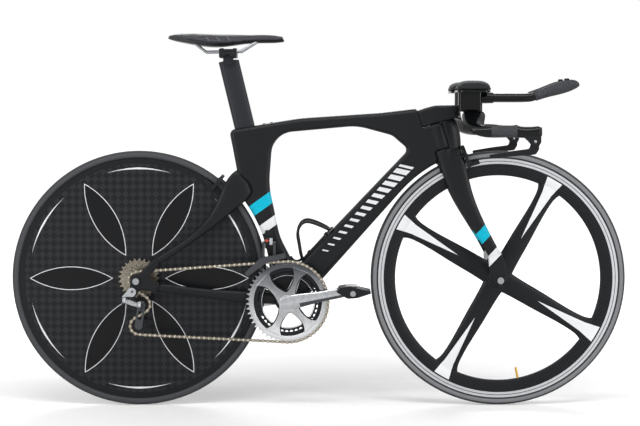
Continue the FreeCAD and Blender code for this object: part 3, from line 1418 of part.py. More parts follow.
def right_crank_arm():
    """Drive side crank with its spider and the spindle pressed into it."""
    pieces = [crank_blade(-1)]
    pieces.append(cross_rod(BOTTOM_BRACKET, -PEDAL_FACE + 4, -SHELL_WIDTH / 2 - CLEARANCE, CRANK_HUB_RADIUS))
    pieces.append(cross_rod(BOTTOM_BRACKET, -PEDAL_FACE + 6, PEDAL_FACE - 1, SPINDLE_RADIUS))
    for turn in SPIDER_TURNS:
        out = spider_direction(turn)
        across = at(-out.z, 0, out.x)
        corners = [
            (BOTTOM_BRACKET + out * 10 - across * 14, 0),
            (BOTTOM_BRACKET + out * (BOLT_CIRCLE + 7) - across * 8, 6),
            (BOTTOM_BRACKET + out * (BOLT_CIRCLE + 7) + across * 8, 6),
            (BOTTOM_BRACKET + out * 10 + across * 14, 0),
        ]
        pieces.append(plate(corners, -SPIDER_OUTER, -SPIDER_INNER))
    body = joined(pieces)
    holes = []
    for turn in SPIDER_TURNS:
        eye = BOTTOM_BRACKET + spider_direction(turn) * BOLT_CIRCLE
        holes.append(cross_rod(eye, -SPIDER_OUTER - 1, 1 - SPIDER_INNER, BOLT_RADIUS + 1.5))
    return body.cut(holes)


def left_crank_arm():
    """Plain crank clamped on the spindle's far end."""
    hub = cross_rod(BOTTOM_BRACKET, SHELL_WIDTH / 2 + CLEARANCE, PEDAL_FACE - 2, CRANK_HUB_RADIUS - 2)
    body = crank_blade(1).fuse(hub)
    return body.cut(cross_rod(BOTTOM_BRACKET, 0, PEDAL_FACE - 1, SPINDLE_RADIUS))


def chainring_bolts():
    """Sleeve bolts through the two rings and each spider arm."""
    bolts = []
    for turn in SPIDER_TURNS:
        eye = BOTTOM_BRACKET + spider_direction(turn) * BOLT_CIRCLE
        low = -BIG_RING_OFFSET - RING_THICKNESS / 2
        high = RING_SPACING - BIG_RING_OFFSET + RING_THICKNESS / 2
        shank = cross_rod(eye, low, high, BOLT_RADIUS + 1.5)
        bolts.append(shank.fuse(cross_rod(eye, low - 1.2, low, BOLT_RADIUS + 3)))
    return group(bolts)


def pedal_spindles():
    """Pedal spindles screwed into the crank eyes."""
    rods = []
    for side in (-1, 1):
        ends = sorted((side * (PEDAL_FACE - CRANK_THICKNESS + 1), side * (PEDAL_FACE + PEDAL_LENGTH)))
        collar = sorted((side * PEDAL_FACE, side * (PEDAL_FACE + 4)))
        centre = pedal_centre(side)
        shaft = cross_rod(centre, *ends, PEDAL_AXLE_RADIUS)
        rods.append(shaft.fuse(cross_rod(centre, *collar, PEDAL_AXLE_RADIUS + 2)))
    return group(rods)


def pedal(side):
    """Clipless pedal body that turns on its spindle."""
    centre = flat(pedal_centre(side))
    outline = [
        (-42, 4, 3), (-34, 15, 8), (-6, 19, 14), (14, 13, 14),
        (45, 6, 2.5), (46, 0, 2.5), (12, -11, 14), (-14, -13, 12),
    ]
    corners = [(centre + at(x, 0, z), radius) for x, z, radius in outline]
    near = side * (PEDAL_FACE + 4 + CLEARANCE)
    far = side * (PEDAL_FACE + PEDAL_LENGTH - 1)
    body = plate(corners, min(near, far), max(near, far))
    body = body.makeFillet(2, [edge for edge in body.Edges if abs(edge.CenterOfMass.y - far) < 0.1])
    barrel = cross_rod(centre, min(near, far), max(near, far), PEDAL_AXLE_RADIUS + 5)
    body = body.fuse(barrel)
    bore = PEDAL_AXLE_RADIUS + RUNNING_FIT
    return body.cut(cross_rod(centre, min(near, 1.2 * far), max(near, 1.2 * far), bore))


SHIFTER_PIVOT = from_bracket(-49, 152, -38)


def front_derailleur_body():
    """Front derailleur mount on the seat tube's flank, with the pin its cage swings on."""
    base = box(from_bracket(-60, 136, -FRAME_HALF_WIDTH - 5), from_bracket(-38, 184, -FRAME_HALF_WIDTH))
    base = base.makeFillet(3, [edge for edge in base.Edges if abs(edge.tangentAt(0).y) > 0.9])
    arm = box(from_bracket(-58, 146, SHIFTER_PIVOT.y - 4), from_bracket(-40, 166, -FRAME_HALF_WIDTH - 4))
    arm = arm.makeFillet(3, [edge for edge in arm.Edges if abs(edge.tangentAt(0).x) > 0.9])
    pin = rod(SHIFTER_PIVOT - X_AXIS * 18, SHIFTER_PIVOT + X_AXIS * 18, SHIFTER_PIN)
    return joined([base, arm, pin])


def front_derailleur_cage():
    """Two cage plates beside the chain, hung from the pin by two lugs."""
    outline = [(-8, 127, 4), (-4, 115, 3), (-58, 100, 30), (-104, 66, 4), (-113, 74, 4), (-72, 114, 30)]
    corners = [(from_bracket(x, z), radius) for x, z, radius in outline]
    outer = -BIG_RING_OFFSET - 6.5
    inner = -BIG_RING_OFFSET + 6.0
    pieces = [plate(corners, outer, outer + 1.2), plate(corners, inner - 1.2, inner)]
    pieces.append(box(from_bracket(-56, 111.5, outer), from_bracket(-30, 116, inner)))
    pieces.append(rod(from_bracket(-106, 74, outer), from_bracket(-106, 74, inner), 3))
    for low in (-66, -38):
        foot = from_bracket(low, 112, SHIFTER_PIVOT.y - 4)
        lug = box(foot, from_bracket(low + 6, 152, SHIFTER_PIVOT.y + 4))
        start = at(lug.BoundBox.XMin, SHIFTER_PIVOT.y, SHIFTER_PIVOT.z)
        pieces.append(lug)
        pieces.append(rod(start, start + X_AXIS * 6, 5))
    shelf = from_bracket(-66, 112, SHIFTER_PIVOT.y - 7)
    pieces.append(box(shelf, from_bracket(-32, 117, SHIFTER_PIVOT.y + 4)))
    body = joined(pieces)
    return body.cut(rod(SHIFTER_PIVOT - X_AXIS * 30, SHIFTER_PIVOT + X_AXIS * 30, SHIFTER_PIN + RUNNING_FIT))


LINK_AXIS = at(0, math.sin(math.radians(LINK_TILT)), math.cos(math.radians(LINK_TILT)))
LINK_START = HANGER + at(-20, -REAR_DROPOUT_SPACING / 2 - DROPOUT_THICKNESS - 8, -23)
LINK_END = at(GUIDE_PULLEY.x, LINK_START.y - 26, GUIDE_PULLEY.z + 4)


def capsule(first, second, y_low, y_high, radius):
    """Plate with round ends over two points."""
    along = (flat(second) - flat(first)).normalize()
    across = at(-along.z, 0, along.x) * radius
    rim = [flat(first) + across, flat(second) + across, flat(second) - across, flat(first) - across]
    corners = [(point, 0) for point in rim]
    ends = [cross_rod(point, y_low, y_high, radius) for point in (first, second)]
    return joined([plate(corners, y_low, y_high)] + ends)


def rear_derailleur_knuckle():
    """Mounting knuckle bolted to the hanger; its lower end carries the link's pin."""
    face = -REAR_DROPOUT_SPACING / 2 - DROPOUT_THICKNESS
    body = capsule(HANGER, LINK_START, face - 12, face, 11)
    room = rod(LINK_START - LINK_AXIS * 40, LINK_START + LINK_AXIS * (LINK_HALF_HEIGHT + 0.6), 60)
    bolt = cross_rod(HANGER, face - 14, face + DROPOUT_THICKNESS, HANGER_RADIUS)
    pin = rod(LINK_START - LINK_AXIS * LINK_HALF_HEIGHT, LINK_START + LINK_AXIS * 13, LINK_PIN)
    return joined([body.cut(room), bolt, pin])


def rear_derailleur_link():
    """Parallelogram link between the two knuckles."""
    web = LINK_END - LINK_START
    deep = web.cross(LINK_AXIS).normalize()
    bar = loft(
        [
            oval(LINK_START + web * 0.06, LINK_AXIS * (LINK_HALF_HEIGHT - 1), deep * 4),
            oval(LINK_START + web * 0.5, LINK_AXIS * LINK_HALF_HEIGHT, deep * 4.5),
            oval(LINK_END - web * 0.06, LINK_AXIS * (LINK_HALF_HEIGHT - 1), deep * 4),
        ]
    )
    pieces = [bar]
    holes = []
    for end in (LINK_START, LINK_END):
        tall = LINK_AXIS * LINK_HALF_HEIGHT
        pieces.append(rod(end - tall, end + tall, LINK_BARREL))
        holes.append(rod(end - LINK_AXIS * 12, end + LINK_AXIS * 12, LINK_PIN + RUNNING_FIT))
    return joined(pieces).cut(holes)


KNUCKLE_INNER = -OUTER_COG_OFFSET - CAGE_GAP - CAGE_PLATE - CLEARANCE


def rear_derailleur_lower_knuckle():
    """Lower knuckle: swings on the link and holds the cage's spring and stub."""
    inner = KNUCKLE_INNER
    outer = inner - 20
    drum = cross_rod(GUIDE_PULLEY, outer, inner, 12)
    drum = drum.makeFillet(3, [edge for edge in drum.Edges if abs(edge.CenterOfMass.y - outer) < 0.1])
    foot = LINK_END - LINK_AXIS * 10
    arm = rod(at(GUIDE_PULLEY.x, outer + 6, GUIDE_PULLEY.z - 4), foot - LINK_AXIS * 1.5, 4.5)
    pin = rod(foot - LINK_AXIS * 3, LINK_END + LINK_AXIS * 7, LINK_PIN)
    room = rod(LINK_END - LINK_AXIS * 7.3, LINK_END + LINK_AXIS * 40, LINK_BARREL + 1)
    body = joined([drum, arm.cut(room), pin])
    return body.cut(cross_rod(GUIDE_PULLEY, outer + 5, inner + 1, CAGE_STUB + RUNNING_FIT))


def rear_derailleur_cage():
    """Cage: two plates, the pulley pins and the stub in the lower knuckle."""
    outer = -OUTER_COG_OFFSET - CAGE_GAP
    inner = -OUTER_COG_OFFSET + CAGE_GAP
    plates = [capsule(GUIDE_PULLEY, TENSION_PULLEY, outer - CAGE_PLATE, outer, 10),
              capsule(GUIDE_PULLEY, TENSION_PULLEY, inner, inner + CAGE_PLATE, 10)]
    along = (TENSION_PULLEY - GUIDE_PULLEY).normalize()
    window = capsule(GUIDE_PULLEY + along * 21, TENSION_PULLEY - along * 21, outer - 5, inner + 5, 5)
    pins = []
    for point in (GUIDE_PULLEY, TENSION_PULLEY):
        pins.append(cross_rod(point, outer - CAGE_PLATE, inner + CAGE_PLATE, PULLEY_PIN))
    stub = cross_rod(GUIDE_PULLEY, KNUCKLE_INNER - 14, outer - CAGE_PLATE / 2, CAGE_STUB)
    return joined([plates[0].cut(window), plates[1].cut(window)] + pins + [stub])


def jockey_pulley(centre, phase):
    """Toothed jockey pulley with a wider hub."""
    wheel = sprocket(flat(centre), PULLEY_TEETH, phase, centre.y, 2.0, PULLEY_PIN + RUNNING_FIT)
    bore = PULLEY_PIN + RUNNING_FIT
    hub = cross_tube(centre, centre.y - PULLEY_HALF_HUB, centre.y + PULLEY_HALF_HUB, 6.5, bore)
    return wheel.fuse(hub)


def build():
    """Every node of the bike, by name."""
    bolts = frame_bolts()
    dropouts = dropout_plates()
    triangle = front_triangle().cut(bolts)
    lower = chainstays([triangle, dropouts])
    upper = seatstays([triangle, dropouts, lower])
    right_stay, left_stay = upper.Solids
    studs = rear_studs()
    if right_stay.CenterOfMass.y > 0:
        right_stay, left_stay = left_stay, right_stay
    upper = group([right_stay.fuse(studs[0]), left_stay.fuse(studs[1])])
    bar = base_bar()
    front_fork = fork()
    clip_ons = extensions()
    bar_stem = stem([front_fork, bar])
    base = saddle_base()
    rails = saddle_rails([base])
    front_half = FRONT_DROPOUT_SPACING / 2
    rear_half = REAR_DROPOUT_SPACING / 2
    nodes = {
        "front_triangle": triangle,
        "chainstays": lower,
        "seatstays": upper,
        "dropouts": dropouts,
        "frame_bearings": frame_bearings(),
        "bottle_cage": bottle_cage([triangle, bolts]),
        "frame_bolts": bolts,
        "seatpost": seatpost(),
        "saddle_clamp": saddle_clamp([rails]),
        "saddle_rails": rails,
        "saddle_base": base,
        "saddle_cover": saddle_cover(),
        "fork": front_fork,
        "stem": bar_stem,
        "base_bar": bar,
        "arm_rests": arm_rests([bar, bar_stem, clip_ons]),
        "arm_pads": arm_pads(),
        "extensions": clip_ons,
        "shifter_pods": shifter_pods([clip_ons]),
        "right_shift_button": shift_button(-1),
        "left_shift_button": shift_button(1),
        "lever_brackets": lever_brackets([bar]),
        "right_brake_lever": brake_lever(-1),
        "left_brake_lever": brake_lever(1),
        "front_brake_right_arm": front_brake_arm(-1),
        "front_brake_left_arm": front_brake_arm(1),
        "rear_brake_right_arm": rear_brake_arm(-1),
        "rear_brake_left_arm": rear_brake_arm(1),
        "front_axle": axle(FRONT_AXLE, front_half, FORK_TIP_THICKNESS),
        "front_quick_release": quick_release(FRONT_AXLE, front_half, FORK_TIP_THICKNESS),
        "front_tyre": tyre(FRONT_AXLE),
        "front_brake_track": front_brake_track(),
        "front_wheel_shell": front_wheel_shell(),
        "front_hub_bearings": hub_bearings(FRONT_AXLE, HUB_HALF_WIDTH),
        "front_valve": front_valve(),
        "rear_axle": axle(REAR_AXLE, rear_half, DROPOUT_THICKNESS),
        "rear_quick_release": quick_release(REAR_AXLE, rear_half, DROPOUT_THICKNESS),
        "rear_tyre": tyre(REAR_AXLE),
        "rear_disc": rear_disc(),
        "rear_hub_shell": rear_hub_shell(),
        "rear_hub_bearings": rear_hub_bearings(),
        "cassette_cogs": cassette_cogs(COG_PHASE),
        "freehub_body": freehub_body(),
        "chain": chain(),
        "right_crank_arm": right_crank_arm(),
        "left_crank_arm": left_crank_arm(),
        "big_chainring": big_chainring(),
        "small_chainring": small_chainring(),
        "chainring_bolts": chainring_bolts(),
        "pedal_spindles": pedal_spindles(),
        "right_pedal": pedal(-1),
        "left_pedal": pedal(1),
        "front_derailleur_body": front_derailleur_body(),
        "front_derailleur_cage": front_derailleur_cage(),
        "rear_derailleur_knuckle": rear_derailleur_knuckle(),
        "rear_derailleur_link": rear_derailleur_link(),
        "rear_derailleur_lower_knuckle": rear_derailleur_lower_knuckle(),
        "rear_derailleur_cage": rear_derailleur_cage(),
        "guide_pulley": jockey_pulley(GUIDE_PULLEY, GUIDE_PHASE),
        "tension_pulley": jockey_pulley(TENSION_PULLEY, TENSION_PHASE),
    }
    return nodes


def main():
    os.makedirs("parts", exist_ok=True)
    for name, shape in build().items():
        group([shape]).exportStep(f"parts/{name}.step")


if __name__ == "__main__":
    main()
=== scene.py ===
import math

import bmesh
import bpy
from mathutils import Matrix, Vector


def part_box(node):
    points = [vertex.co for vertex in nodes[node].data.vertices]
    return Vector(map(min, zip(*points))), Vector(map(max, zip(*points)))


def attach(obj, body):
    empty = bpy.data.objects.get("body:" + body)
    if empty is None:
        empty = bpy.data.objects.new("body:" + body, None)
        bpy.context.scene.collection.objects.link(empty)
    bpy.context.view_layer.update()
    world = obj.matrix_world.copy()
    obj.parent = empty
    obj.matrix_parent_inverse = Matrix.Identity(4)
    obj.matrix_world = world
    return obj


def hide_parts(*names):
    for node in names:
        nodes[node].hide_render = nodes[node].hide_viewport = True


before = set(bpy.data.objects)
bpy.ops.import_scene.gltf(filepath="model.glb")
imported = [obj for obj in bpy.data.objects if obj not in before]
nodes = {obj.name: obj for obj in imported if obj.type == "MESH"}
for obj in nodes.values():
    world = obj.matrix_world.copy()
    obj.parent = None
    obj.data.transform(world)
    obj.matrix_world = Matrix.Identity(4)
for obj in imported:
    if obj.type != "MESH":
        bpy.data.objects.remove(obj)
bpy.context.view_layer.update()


# The frame: one carbon moulding from seat tube to head tube, with its stays, sprayed satin black
# under clear lacquer, so it shows soft broad highlights. Sky blue and white stripes are painted
# round the foot of the seat tube, and a row of slanted white bars grows up the down tube.
MILLIMETRES = (1000.0, 1000.0, 1000.0)
EDGE_FLOW = 0.009
BLUE_PAINT = "#08b2cd"
WHITE_PAINT = "#e3e5e7"


def linear(hex_colour):
    """Linear RGBA from an sRGB hex colour."""
    channels = [int(hex_colour[start:start + 2], 16) / 255 for start in (1, 3, 5)]
    return [c / 12.92 if c <= 0.04045 else ((c + 0.055) / 1.055) ** 2.4 for c in channels] + [1.0]


def wire(material, kind, *inputs, output=0, **settings):
    """Adds a shader node with its settings; an input is a value, another node's socket or None."""
    tree = material.node_tree
    made = tree.nodes.new("ShaderNode" + kind)
    for name, value in settings.items():
        setattr(made, name, value)
    for socket, value in zip(made.inputs, inputs):
        if isinstance(value, bpy.types.NodeSocket):
            tree.links.new(value, socket)
        elif value is not None:
            socket.default_value = value
    return made.outputs[output]


def mottled(name, dark, light, gloss, grain, depth, stretch=(1.0, 1.0, 1.0), **sockets):
    """A finish with a grain of that many millimetres: two near tones, uneven gloss and a shallow bump
    of that many metres. Gives the material, its shader, its place in millimetres and its colour."""
    material = bpy.data.materials.new(name)
    material.use_nodes = True
    shader = material.node_tree.nodes["Principled BSDF"]
    for socket, value in sockets.items():
        shader.inputs[socket.replace("_", " ")].default_value = value
    place = wire(material, "TexCoord", output=3)
    place = wire(material, "VectorMath", place, MILLIMETRES, operation="MULTIPLY")
    drawn = wire(material, "VectorMath", place, stretch, operation="MULTIPLY")
    noise = wire(material, "TexNoise", drawn, None, 1.0 / grain, 4.0, 0.6)
    usual = (0.3, 0.7)
    tone = wire(material, "MapRange", noise, *usual, 0.0, 1.0)
    colour = wire(material, "MixRGB", tone, linear(dark), linear(light))
    rough = wire(material, "MapRange", noise, *usual, *gloss)
    bump = wire(material, "Bump", 1.0, depth, None, noise)
    links = material.node_tree.links
    links.new(colour, shader.inputs["Base Color"])
    links.new(rough, shader.inputs["Roughness"])
    links.new(bump, shader.inputs["Normal"])
    return material, shader, place, colour


def dress(material, *names):
    """Gives CAD nodes a material."""
    for name in names:
        for slot in nodes[name].material_slots:
            slot.material = material


def striped_lacquer(name, across, blue, white, front, back):
    """Satin lacquer with two slanted stripes; each spans a range of distances along across."""
    material, shader, place, colour = mottled(
        name, dark="#0c0d0f", light="#131518", gloss=(0.34, 0.42), grain=1.6, depth=0.00001,
        Specular_IOR_Level=0.2,
    )
    softened = wire(material, "Bevel", EDGE_FLOW, samples=6)
    material.node_tree.links.new(softened, material.node_tree.nodes["Bump"].inputs["Normal"])
    ahead = wire(material, "SeparateXYZ", place)
    inside = wire(material, "Math", ahead, (front + back) / 2, (front - back) / 2, operation="COMPARE")
    along = wire(material, "VectorMath", place, across, operation="DOT_PRODUCT", output=1)
    for (low, high), paint in ((blue, BLUE_PAINT), (white, WHITE_PAINT)):
        band = wire(material, "Math", along, (low + high) / 2, (high - low) / 2, operation="COMPARE")
        mask = wire(material, "Math", band, inside, operation="MULTIPLY")
        colour = wire(material, "MixRGB", mask, colour, linear(paint))
    material.node_tree.links.new(colour, shader.inputs["Base Color"])
    return material, shader, place, colour


frame_lacquer, frame_shader, frame_place, frame_colour = striped_lacquer(
    "satin_lacquered_carbon", across=(-0.58, 0.0, 0.81), blue=(501.0, 529.0), white=(449.0, 472.0),
    front=-90.0, back=-215.0,
)
TUBE_FOOT = (2.0, 0.0, 392.0)
TUBE_LINE = (0.694, 0.0, 0.72)
TUBE_SIDE = (-0.72, 0.0, 0.694)
ROW_LENGTH = 330.0
ROW_MIDDLE = 170.0
ROW_REACH = 159.5
ROW_HALF_HEIGHTS = (6.0, 16.0)
BAR_PITCH = 22.0
BAR_SLANT = 0.6
BAR_HALF_WIDTHS = (1.6, 8.2)
from_foot = wire(frame_lacquer, "VectorMath", frame_place, TUBE_FOOT, operation="SUBTRACT")
along = wire(frame_lacquer, "VectorMath", from_foot, TUBE_LINE, operation="DOT_PRODUCT", output=1)
aside = wire(frame_lacquer, "VectorMath", from_foot, TUBE_SIDE, operation="DOT_PRODUCT", output=1)
slant = wire(frame_lacquer, "Math", aside, BAR_SLANT, along, operation="MULTIPLY_ADD")
bar = wire(frame_lacquer, "Math", slant, BAR_PITCH / 2, operation="PINGPONG")
bar_half = wire(frame_lacquer, "MapRange", along, 0.0, ROW_LENGTH, *BAR_HALF_WIDTHS)
bar = wire(frame_lacquer, "Math", bar, bar_half, operation="LESS_THAN")
row_half = wire(frame_lacquer, "MapRange", along, 0.0, ROW_LENGTH, *ROW_HALF_HEIGHTS)
in_row = wire(frame_lacquer, "Math", aside, 0.0, row_half, operation="COMPARE")
row_end = wire(frame_lacquer, "Math", slant, ROW_MIDDLE, ROW_REACH, operation="COMPARE")
bar = wire(frame_lacquer, "Math", bar, in_row, operation="MULTIPLY")
bar = wire(frame_lacquer, "Math", bar, row_end, operation="MULTIPLY")
barred = wire(frame_lacquer, "MixRGB", bar, frame_colour, linear("#dfe1e3"))
frame_lacquer.node_tree.links.new(barred, frame_shader.inputs["Base Color"])
dress(frame_lacquer, "front_triangle", "chainstays", "seatstays", "dropouts", "stem")

# The frame's bearings and bolts: bearings of turned steel, bright and slightly grey with fine turning
# marks, pressed into the frame, and bolts of steel blackened in an oxide bath.
steel, _, _, _ = mottled(
    "turned_steel", dark="#7d7f83", light="#a9abae", gloss=(0.22, 0.34), grain=2.0, depth=0.000002,
    stretch=(1.0, 6.0, 1.0), Metallic=1.0,
)
dress(steel, "frame_bearings")
black_steel, _, _, _ = mottled(
    "black_oxide_steel", dark="#1b1c1e", light="#2a2b2e", gloss=(0.3, 0.42), grain=2.0, depth=0.000003,
    Metallic=0.6,
)
dress(black_steel, "frame_bolts")

# The bottle cage: moulded black composite with a low sheen and a fine speckle of chopped fibre.
# Its strip is bolted on the down tube, and its side wires spring apart to take a bottle.
composite, _, _, _ = mottled(
    "moulded_composite", dark="#0f1012", light="#1f2124", gloss=(0.38, 0.52), grain=2.2, depth=0.00003,
    stretch=(1.0, 1.0, 3.0), Specular_IOR_Level=0.18,
)
dress(composite, "bottle_cage")

# The seatpost: a flat carbon blade, satin and a little greyer than the frame, clamped in the
# seat tube. Its head carries a black anodised cradle and yoke that hold the saddle's rails.
post_carbon, _, _, _ = mottled(
    "satin_grey_carbon", dark="#1c1e22", light="#25272c", gloss=(0.38, 0.46), grain=2.4, depth=0.00001,
    Specular_IOR_Level=0.2,
)
dress(post_carbon, "seatpost")
anodised, _, _, _ = mottled(
    "black_anodised_alloy", dark="#0f1012", light="#1a1c1f", gloss=(0.34, 0.46), grain=1.4,
    depth=0.000005, Specular_IOR_Level=0.2,
)
dress(anodised, "saddle_clamp")

# The saddle: bent steel rails and a moulded composite base under a cover of dark grey leather, which is
# drawn over foam and tucked round the base's edge. The foam swells it between the edges, and three
# slanted slits are stitched into each flank.
VOXEL = 0.004
DRAWN_IN = 0.003
PRESSURE = 4.0
MOST_SWELL = 0.005
FACING_DOWN = -0.2
SETTLING_STEPS = 20


def swollen(name, node):
    """A padded copy of a CAD solid: remeshed, drawn in except on its seat, then blown up as a cloth."""
    scene = bpy.context.scene
    shape = bmesh.new()
    shape.from_mesh(nodes[node].data)
    bmesh.ops.remove_doubles(shape, verts=shape.verts, dist=0.00001)
    mesh = bpy.data.meshes.new(name)
    shape.to_mesh(mesh)
    shape.free()
    piece = bpy.data.objects.new(name, mesh)
    scene.collection.objects.link(piece)
    remesh = piece.modifiers.new("remesh", "REMESH")
    remesh.mode = "VOXEL"
    remesh.voxel_size = VOXEL
    skin = bpy.data.meshes.new_from_object(piece.evaluated_get(bpy.context.evaluated_depsgraph_get()))
    piece.modifiers.clear()
    piece.data = skin
    skin.materials.clear()
    normals = [Vector(vertex.normal) for vertex in skin.vertices]
    seat = [Vector(vertex.co) for vertex in skin.vertices]
    underside = [index for index, normal in enumerate(normals) if normal.z < FACING_DOWN]
    for index in set(range(len(seat))) - set(underside):
        skin.vertices[index].co -= normals[index] * DRAWN_IN
    start = [Vector(vertex.co) for vertex in skin.vertices]
    held = piece.vertex_groups.new(name="held")
    held.add(underside, 1.0, "REPLACE")
    cloth = piece.modifiers.new("cloth", "CLOTH")
    cloth.settings.use_pressure = True
    cloth.settings.uniform_pressure_force = PRESSURE
    cloth.settings.effector_weights.gravity = 0.0
    cloth.settings.vertex_group_mass = "held"
    for step in range(1, SETTLING_STEPS + 1):
        scene.frame_set(step)
    settled = piece.evaluated_get(bpy.context.evaluated_depsgraph_get())
    blown = [Vector(vertex.co) for vertex in settled.data.vertices]
    piece.modifiers.clear()
    scene.frame_set(1)
    for vertex, before, after in zip(skin.vertices, start, blown):
        step = after - before
        if step.length > MOST_SWELL:
            step *= MOST_SWELL / step.length
        vertex.co = before + step
    piece.vertex_groups.clear()
    skin.polygons.foreach_set("use_smooth", [True] * len(skin.polygons))
    smooth = piece.modifiers.new("smooth", "SUBSURF")
    smooth.levels = 1
    smooth.render_levels = 1
    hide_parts(node)
    return piece


leather, leather_shader, leather_place, leather_colour = mottled(
    "saddle_leather", dark="#232427", light="#323337", gloss=(0.42, 0.55), grain=1.1, depth=0.00006,
    Specular_IOR_Level=0.25,
)
SLIT_PITCH = 26.6
SLIT_HALF_WIDTH = 0.9
FIRST_SLIT = 672.0
SLIT_HEIGHT, SLIT_HALF_HEIGHT = 958.5, 5.0
SLITS_MIDDLE, SLITS_REACH = -260.0, 34.0
slit_axes = [wire(leather, "SeparateXYZ", leather_place, output=axis) for axis in (0, 2)]
diagonal = wire(leather, "Math", slit_axes[0], slit_axes[1], operation="ADD")
diagonal = wire(leather, "Math", diagonal, FIRST_SLIT, operation="SUBTRACT")
slit = wire(leather, "Math", diagonal, SLIT_PITCH / 2, operation="PINGPONG")
slit = wire(leather, "Math", slit, SLIT_HALF_WIDTH, operation="LESS_THAN")
slit_high = wire(leather, "Math", slit_axes[1], SLIT_HEIGHT, SLIT_HALF_HEIGHT, operation="COMPARE")
slit_long = wire(leather, "Math", slit_axes[0], SLITS_MIDDLE, SLITS_REACH, operation="COMPARE")
slit = wire(leather, "Math", slit, slit_high, operation="MULTIPLY")
slit = wire(leather, "Math", slit, slit_long, operation="MULTIPLY")
stitched = wire(leather, "MixRGB", slit, leather_colour, linear("#6d6e72"))
leather.node_tree.links.new(stitched, leather_shader.inputs["Base Color"])
dress(steel, "saddle_rails")
dress(composite, "saddle_base")
saddle_skin = swollen("saddle_skin", "saddle_cover")
saddle_skin.data.materials.append(leather)
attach(saddle_skin, "saddle")

# The fork: a black lacquered carbon fork like the frame, its steerer held in two bearings, with
# the same two stripes painted slanting across each blade near the tips.
fork_lacquer, _, _, _ = striped_lacquer(
    "satin_lacquered_fork", across=(-0.72, 0.0, 0.69), blue=(-10.0, 18.7), white=(-63.0, -42.5),
    front=520.0, back=380.0,
)
dress(fork_lacquer, "fork")

# The base bar: glossy lacquered carbon that the stem clamps. Each horn has a band of gritty grip
# tape behind its bright black end, and its end plug carries the brake lever.
TAPE_MIDDLE, TAPE_REACH = 460.0, 32.0
GRITS_PER_MILLIMETRE = 0.6
GRIT_HEIGHT = 0.0006
TAPE_ROUGHNESS = 0.85
gloss_carbon, _, _, _ = mottled(
    "gloss_lacquered_carbon", dark="#070809", light="#0d0e10", gloss=(0.14, 0.2), grain=1.8,
    depth=0.000005, Specular_IOR_Level=0.2,
)
dress(gloss_carbon, "extensions", "arm_rests")
bar_carbon = gloss_carbon.copy()
bar_carbon.name = "gloss_carbon_with_grip_tape"
bar_shader = bar_carbon.node_tree.nodes["Principled BSDF"]
bar_place = wire(bar_carbon, "TexCoord", output=3)
bar_place = wire(bar_carbon, "VectorMath", bar_place, MILLIMETRES, operation="MULTIPLY")
bar_ahead = wire(bar_carbon, "SeparateXYZ", bar_place)
taped = wire(bar_carbon, "Math", bar_ahead, TAPE_MIDDLE, TAPE_REACH, operation="COMPARE")
grit = wire(bar_carbon, "TexVoronoi", bar_place, None, GRITS_PER_MILLIMETRE)
tape_tone = wire(bar_carbon, "MapRange", grit, 0.1, 0.8, 0.0, 1.0)
tape_colour = wire(bar_carbon, "MixRGB", tape_tone, linear("#2b2c2e"), linear("#4a4b4e"))
bar_links = bar_carbon.node_tree.links
bare_colour = bar_shader.inputs["Base Color"].links[0].from_socket
bare_rough = bar_shader.inputs["Roughness"].links[0].from_socket
bar_colour = wire(bar_carbon, "MixRGB", taped, bare_colour, tape_colour)
bar_rough = wire(bar_carbon, "Mix", taped, None, bare_rough, TAPE_ROUGHNESS)
grit_height = wire(bar_carbon, "Math", grit, taped, operation="MULTIPLY")
bar_bump = wire(bar_carbon, "Bump", 1.0, GRIT_HEIGHT, None, grit_height)
bar_links.new(bar_colour, bar_shader.inputs["Base Color"])
bar_links.new(bar_rough, bar_shader.inputs["Roughness"])
bar_links.new(bar_bump, bar_shader.inputs["Normal"])
dress(bar_carbon, "base_bar")

# The arm pads: two foam pads under black knitted cloth, each seated in the cup of an arm rest.
# The cloth has a fine rib, and the foam swells it towards the middle.
knit, _, _, _ = mottled(
    "ribbed_pad_cloth", dark="#111214", light="#1d1f22", gloss=(0.6, 0.75), grain=1.4, depth=0.0002,
    stretch=(0.3, 1.0, 1.0), Specular_IOR_Level=0.2,
)
pad_skins = swollen("arm_pad_covers", "arm_pads")
pad_skins.data.materials.append(knit)
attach(pad_skins, "steering")

# The grips and shifters: black rubber grips moulded with a gritty grain round the raised ends of
# the extensions, ending in smooth shifter noses with a push button each.
rubber_grip, _, _, _ = mottled(
    "gritty_grip_rubber", dark="#0c0d0f", light="#4a4c50", gloss=(0.6, 0.8), grain=2.6, depth=0.0006,
    Specular_IOR_Level=0.25,
)
dress(rubber_grip, "shifter_pods")
plastic, _, _, _ = mottled(
    "matt_black_plastic", dark="#0d0e10", light="#17181b", gloss=(0.4, 0.5), grain=1.4, depth=0.00001,
    Specular_IOR_Level=0.2,
)
dress(plastic, "right_shift_button", "left_shift_button")

# The brakes: matt black moulded levers in brackets that plug into the bar's ends, and black anodised
# arms with their pads, which turn on studs at the fork's crown and at the seatstays.
dress(plastic, "lever_brackets", "right_brake_lever", "left_brake_lever")
dress(anodised, "front_brake_right_arm", "front_brake_left_arm")
dress(anodised, "rear_brake_right_arm", "rear_brake_left_arm")

# The hubs: turned steel bearings pressed into the wheels, steel axles through them and bright quick
# release levers that clamp the wheels in the fork and the dropouts. The rear hub's shell and its
# freehub body are black anodised alloy.
dress(steel, "front_hub_bearings", "front_axle", "front_quick_release")
dress(steel, "rear_hub_bearings", "rear_axle", "rear_quick_release")
dress(anodised, "rear_hub_shell", "freehub_body")


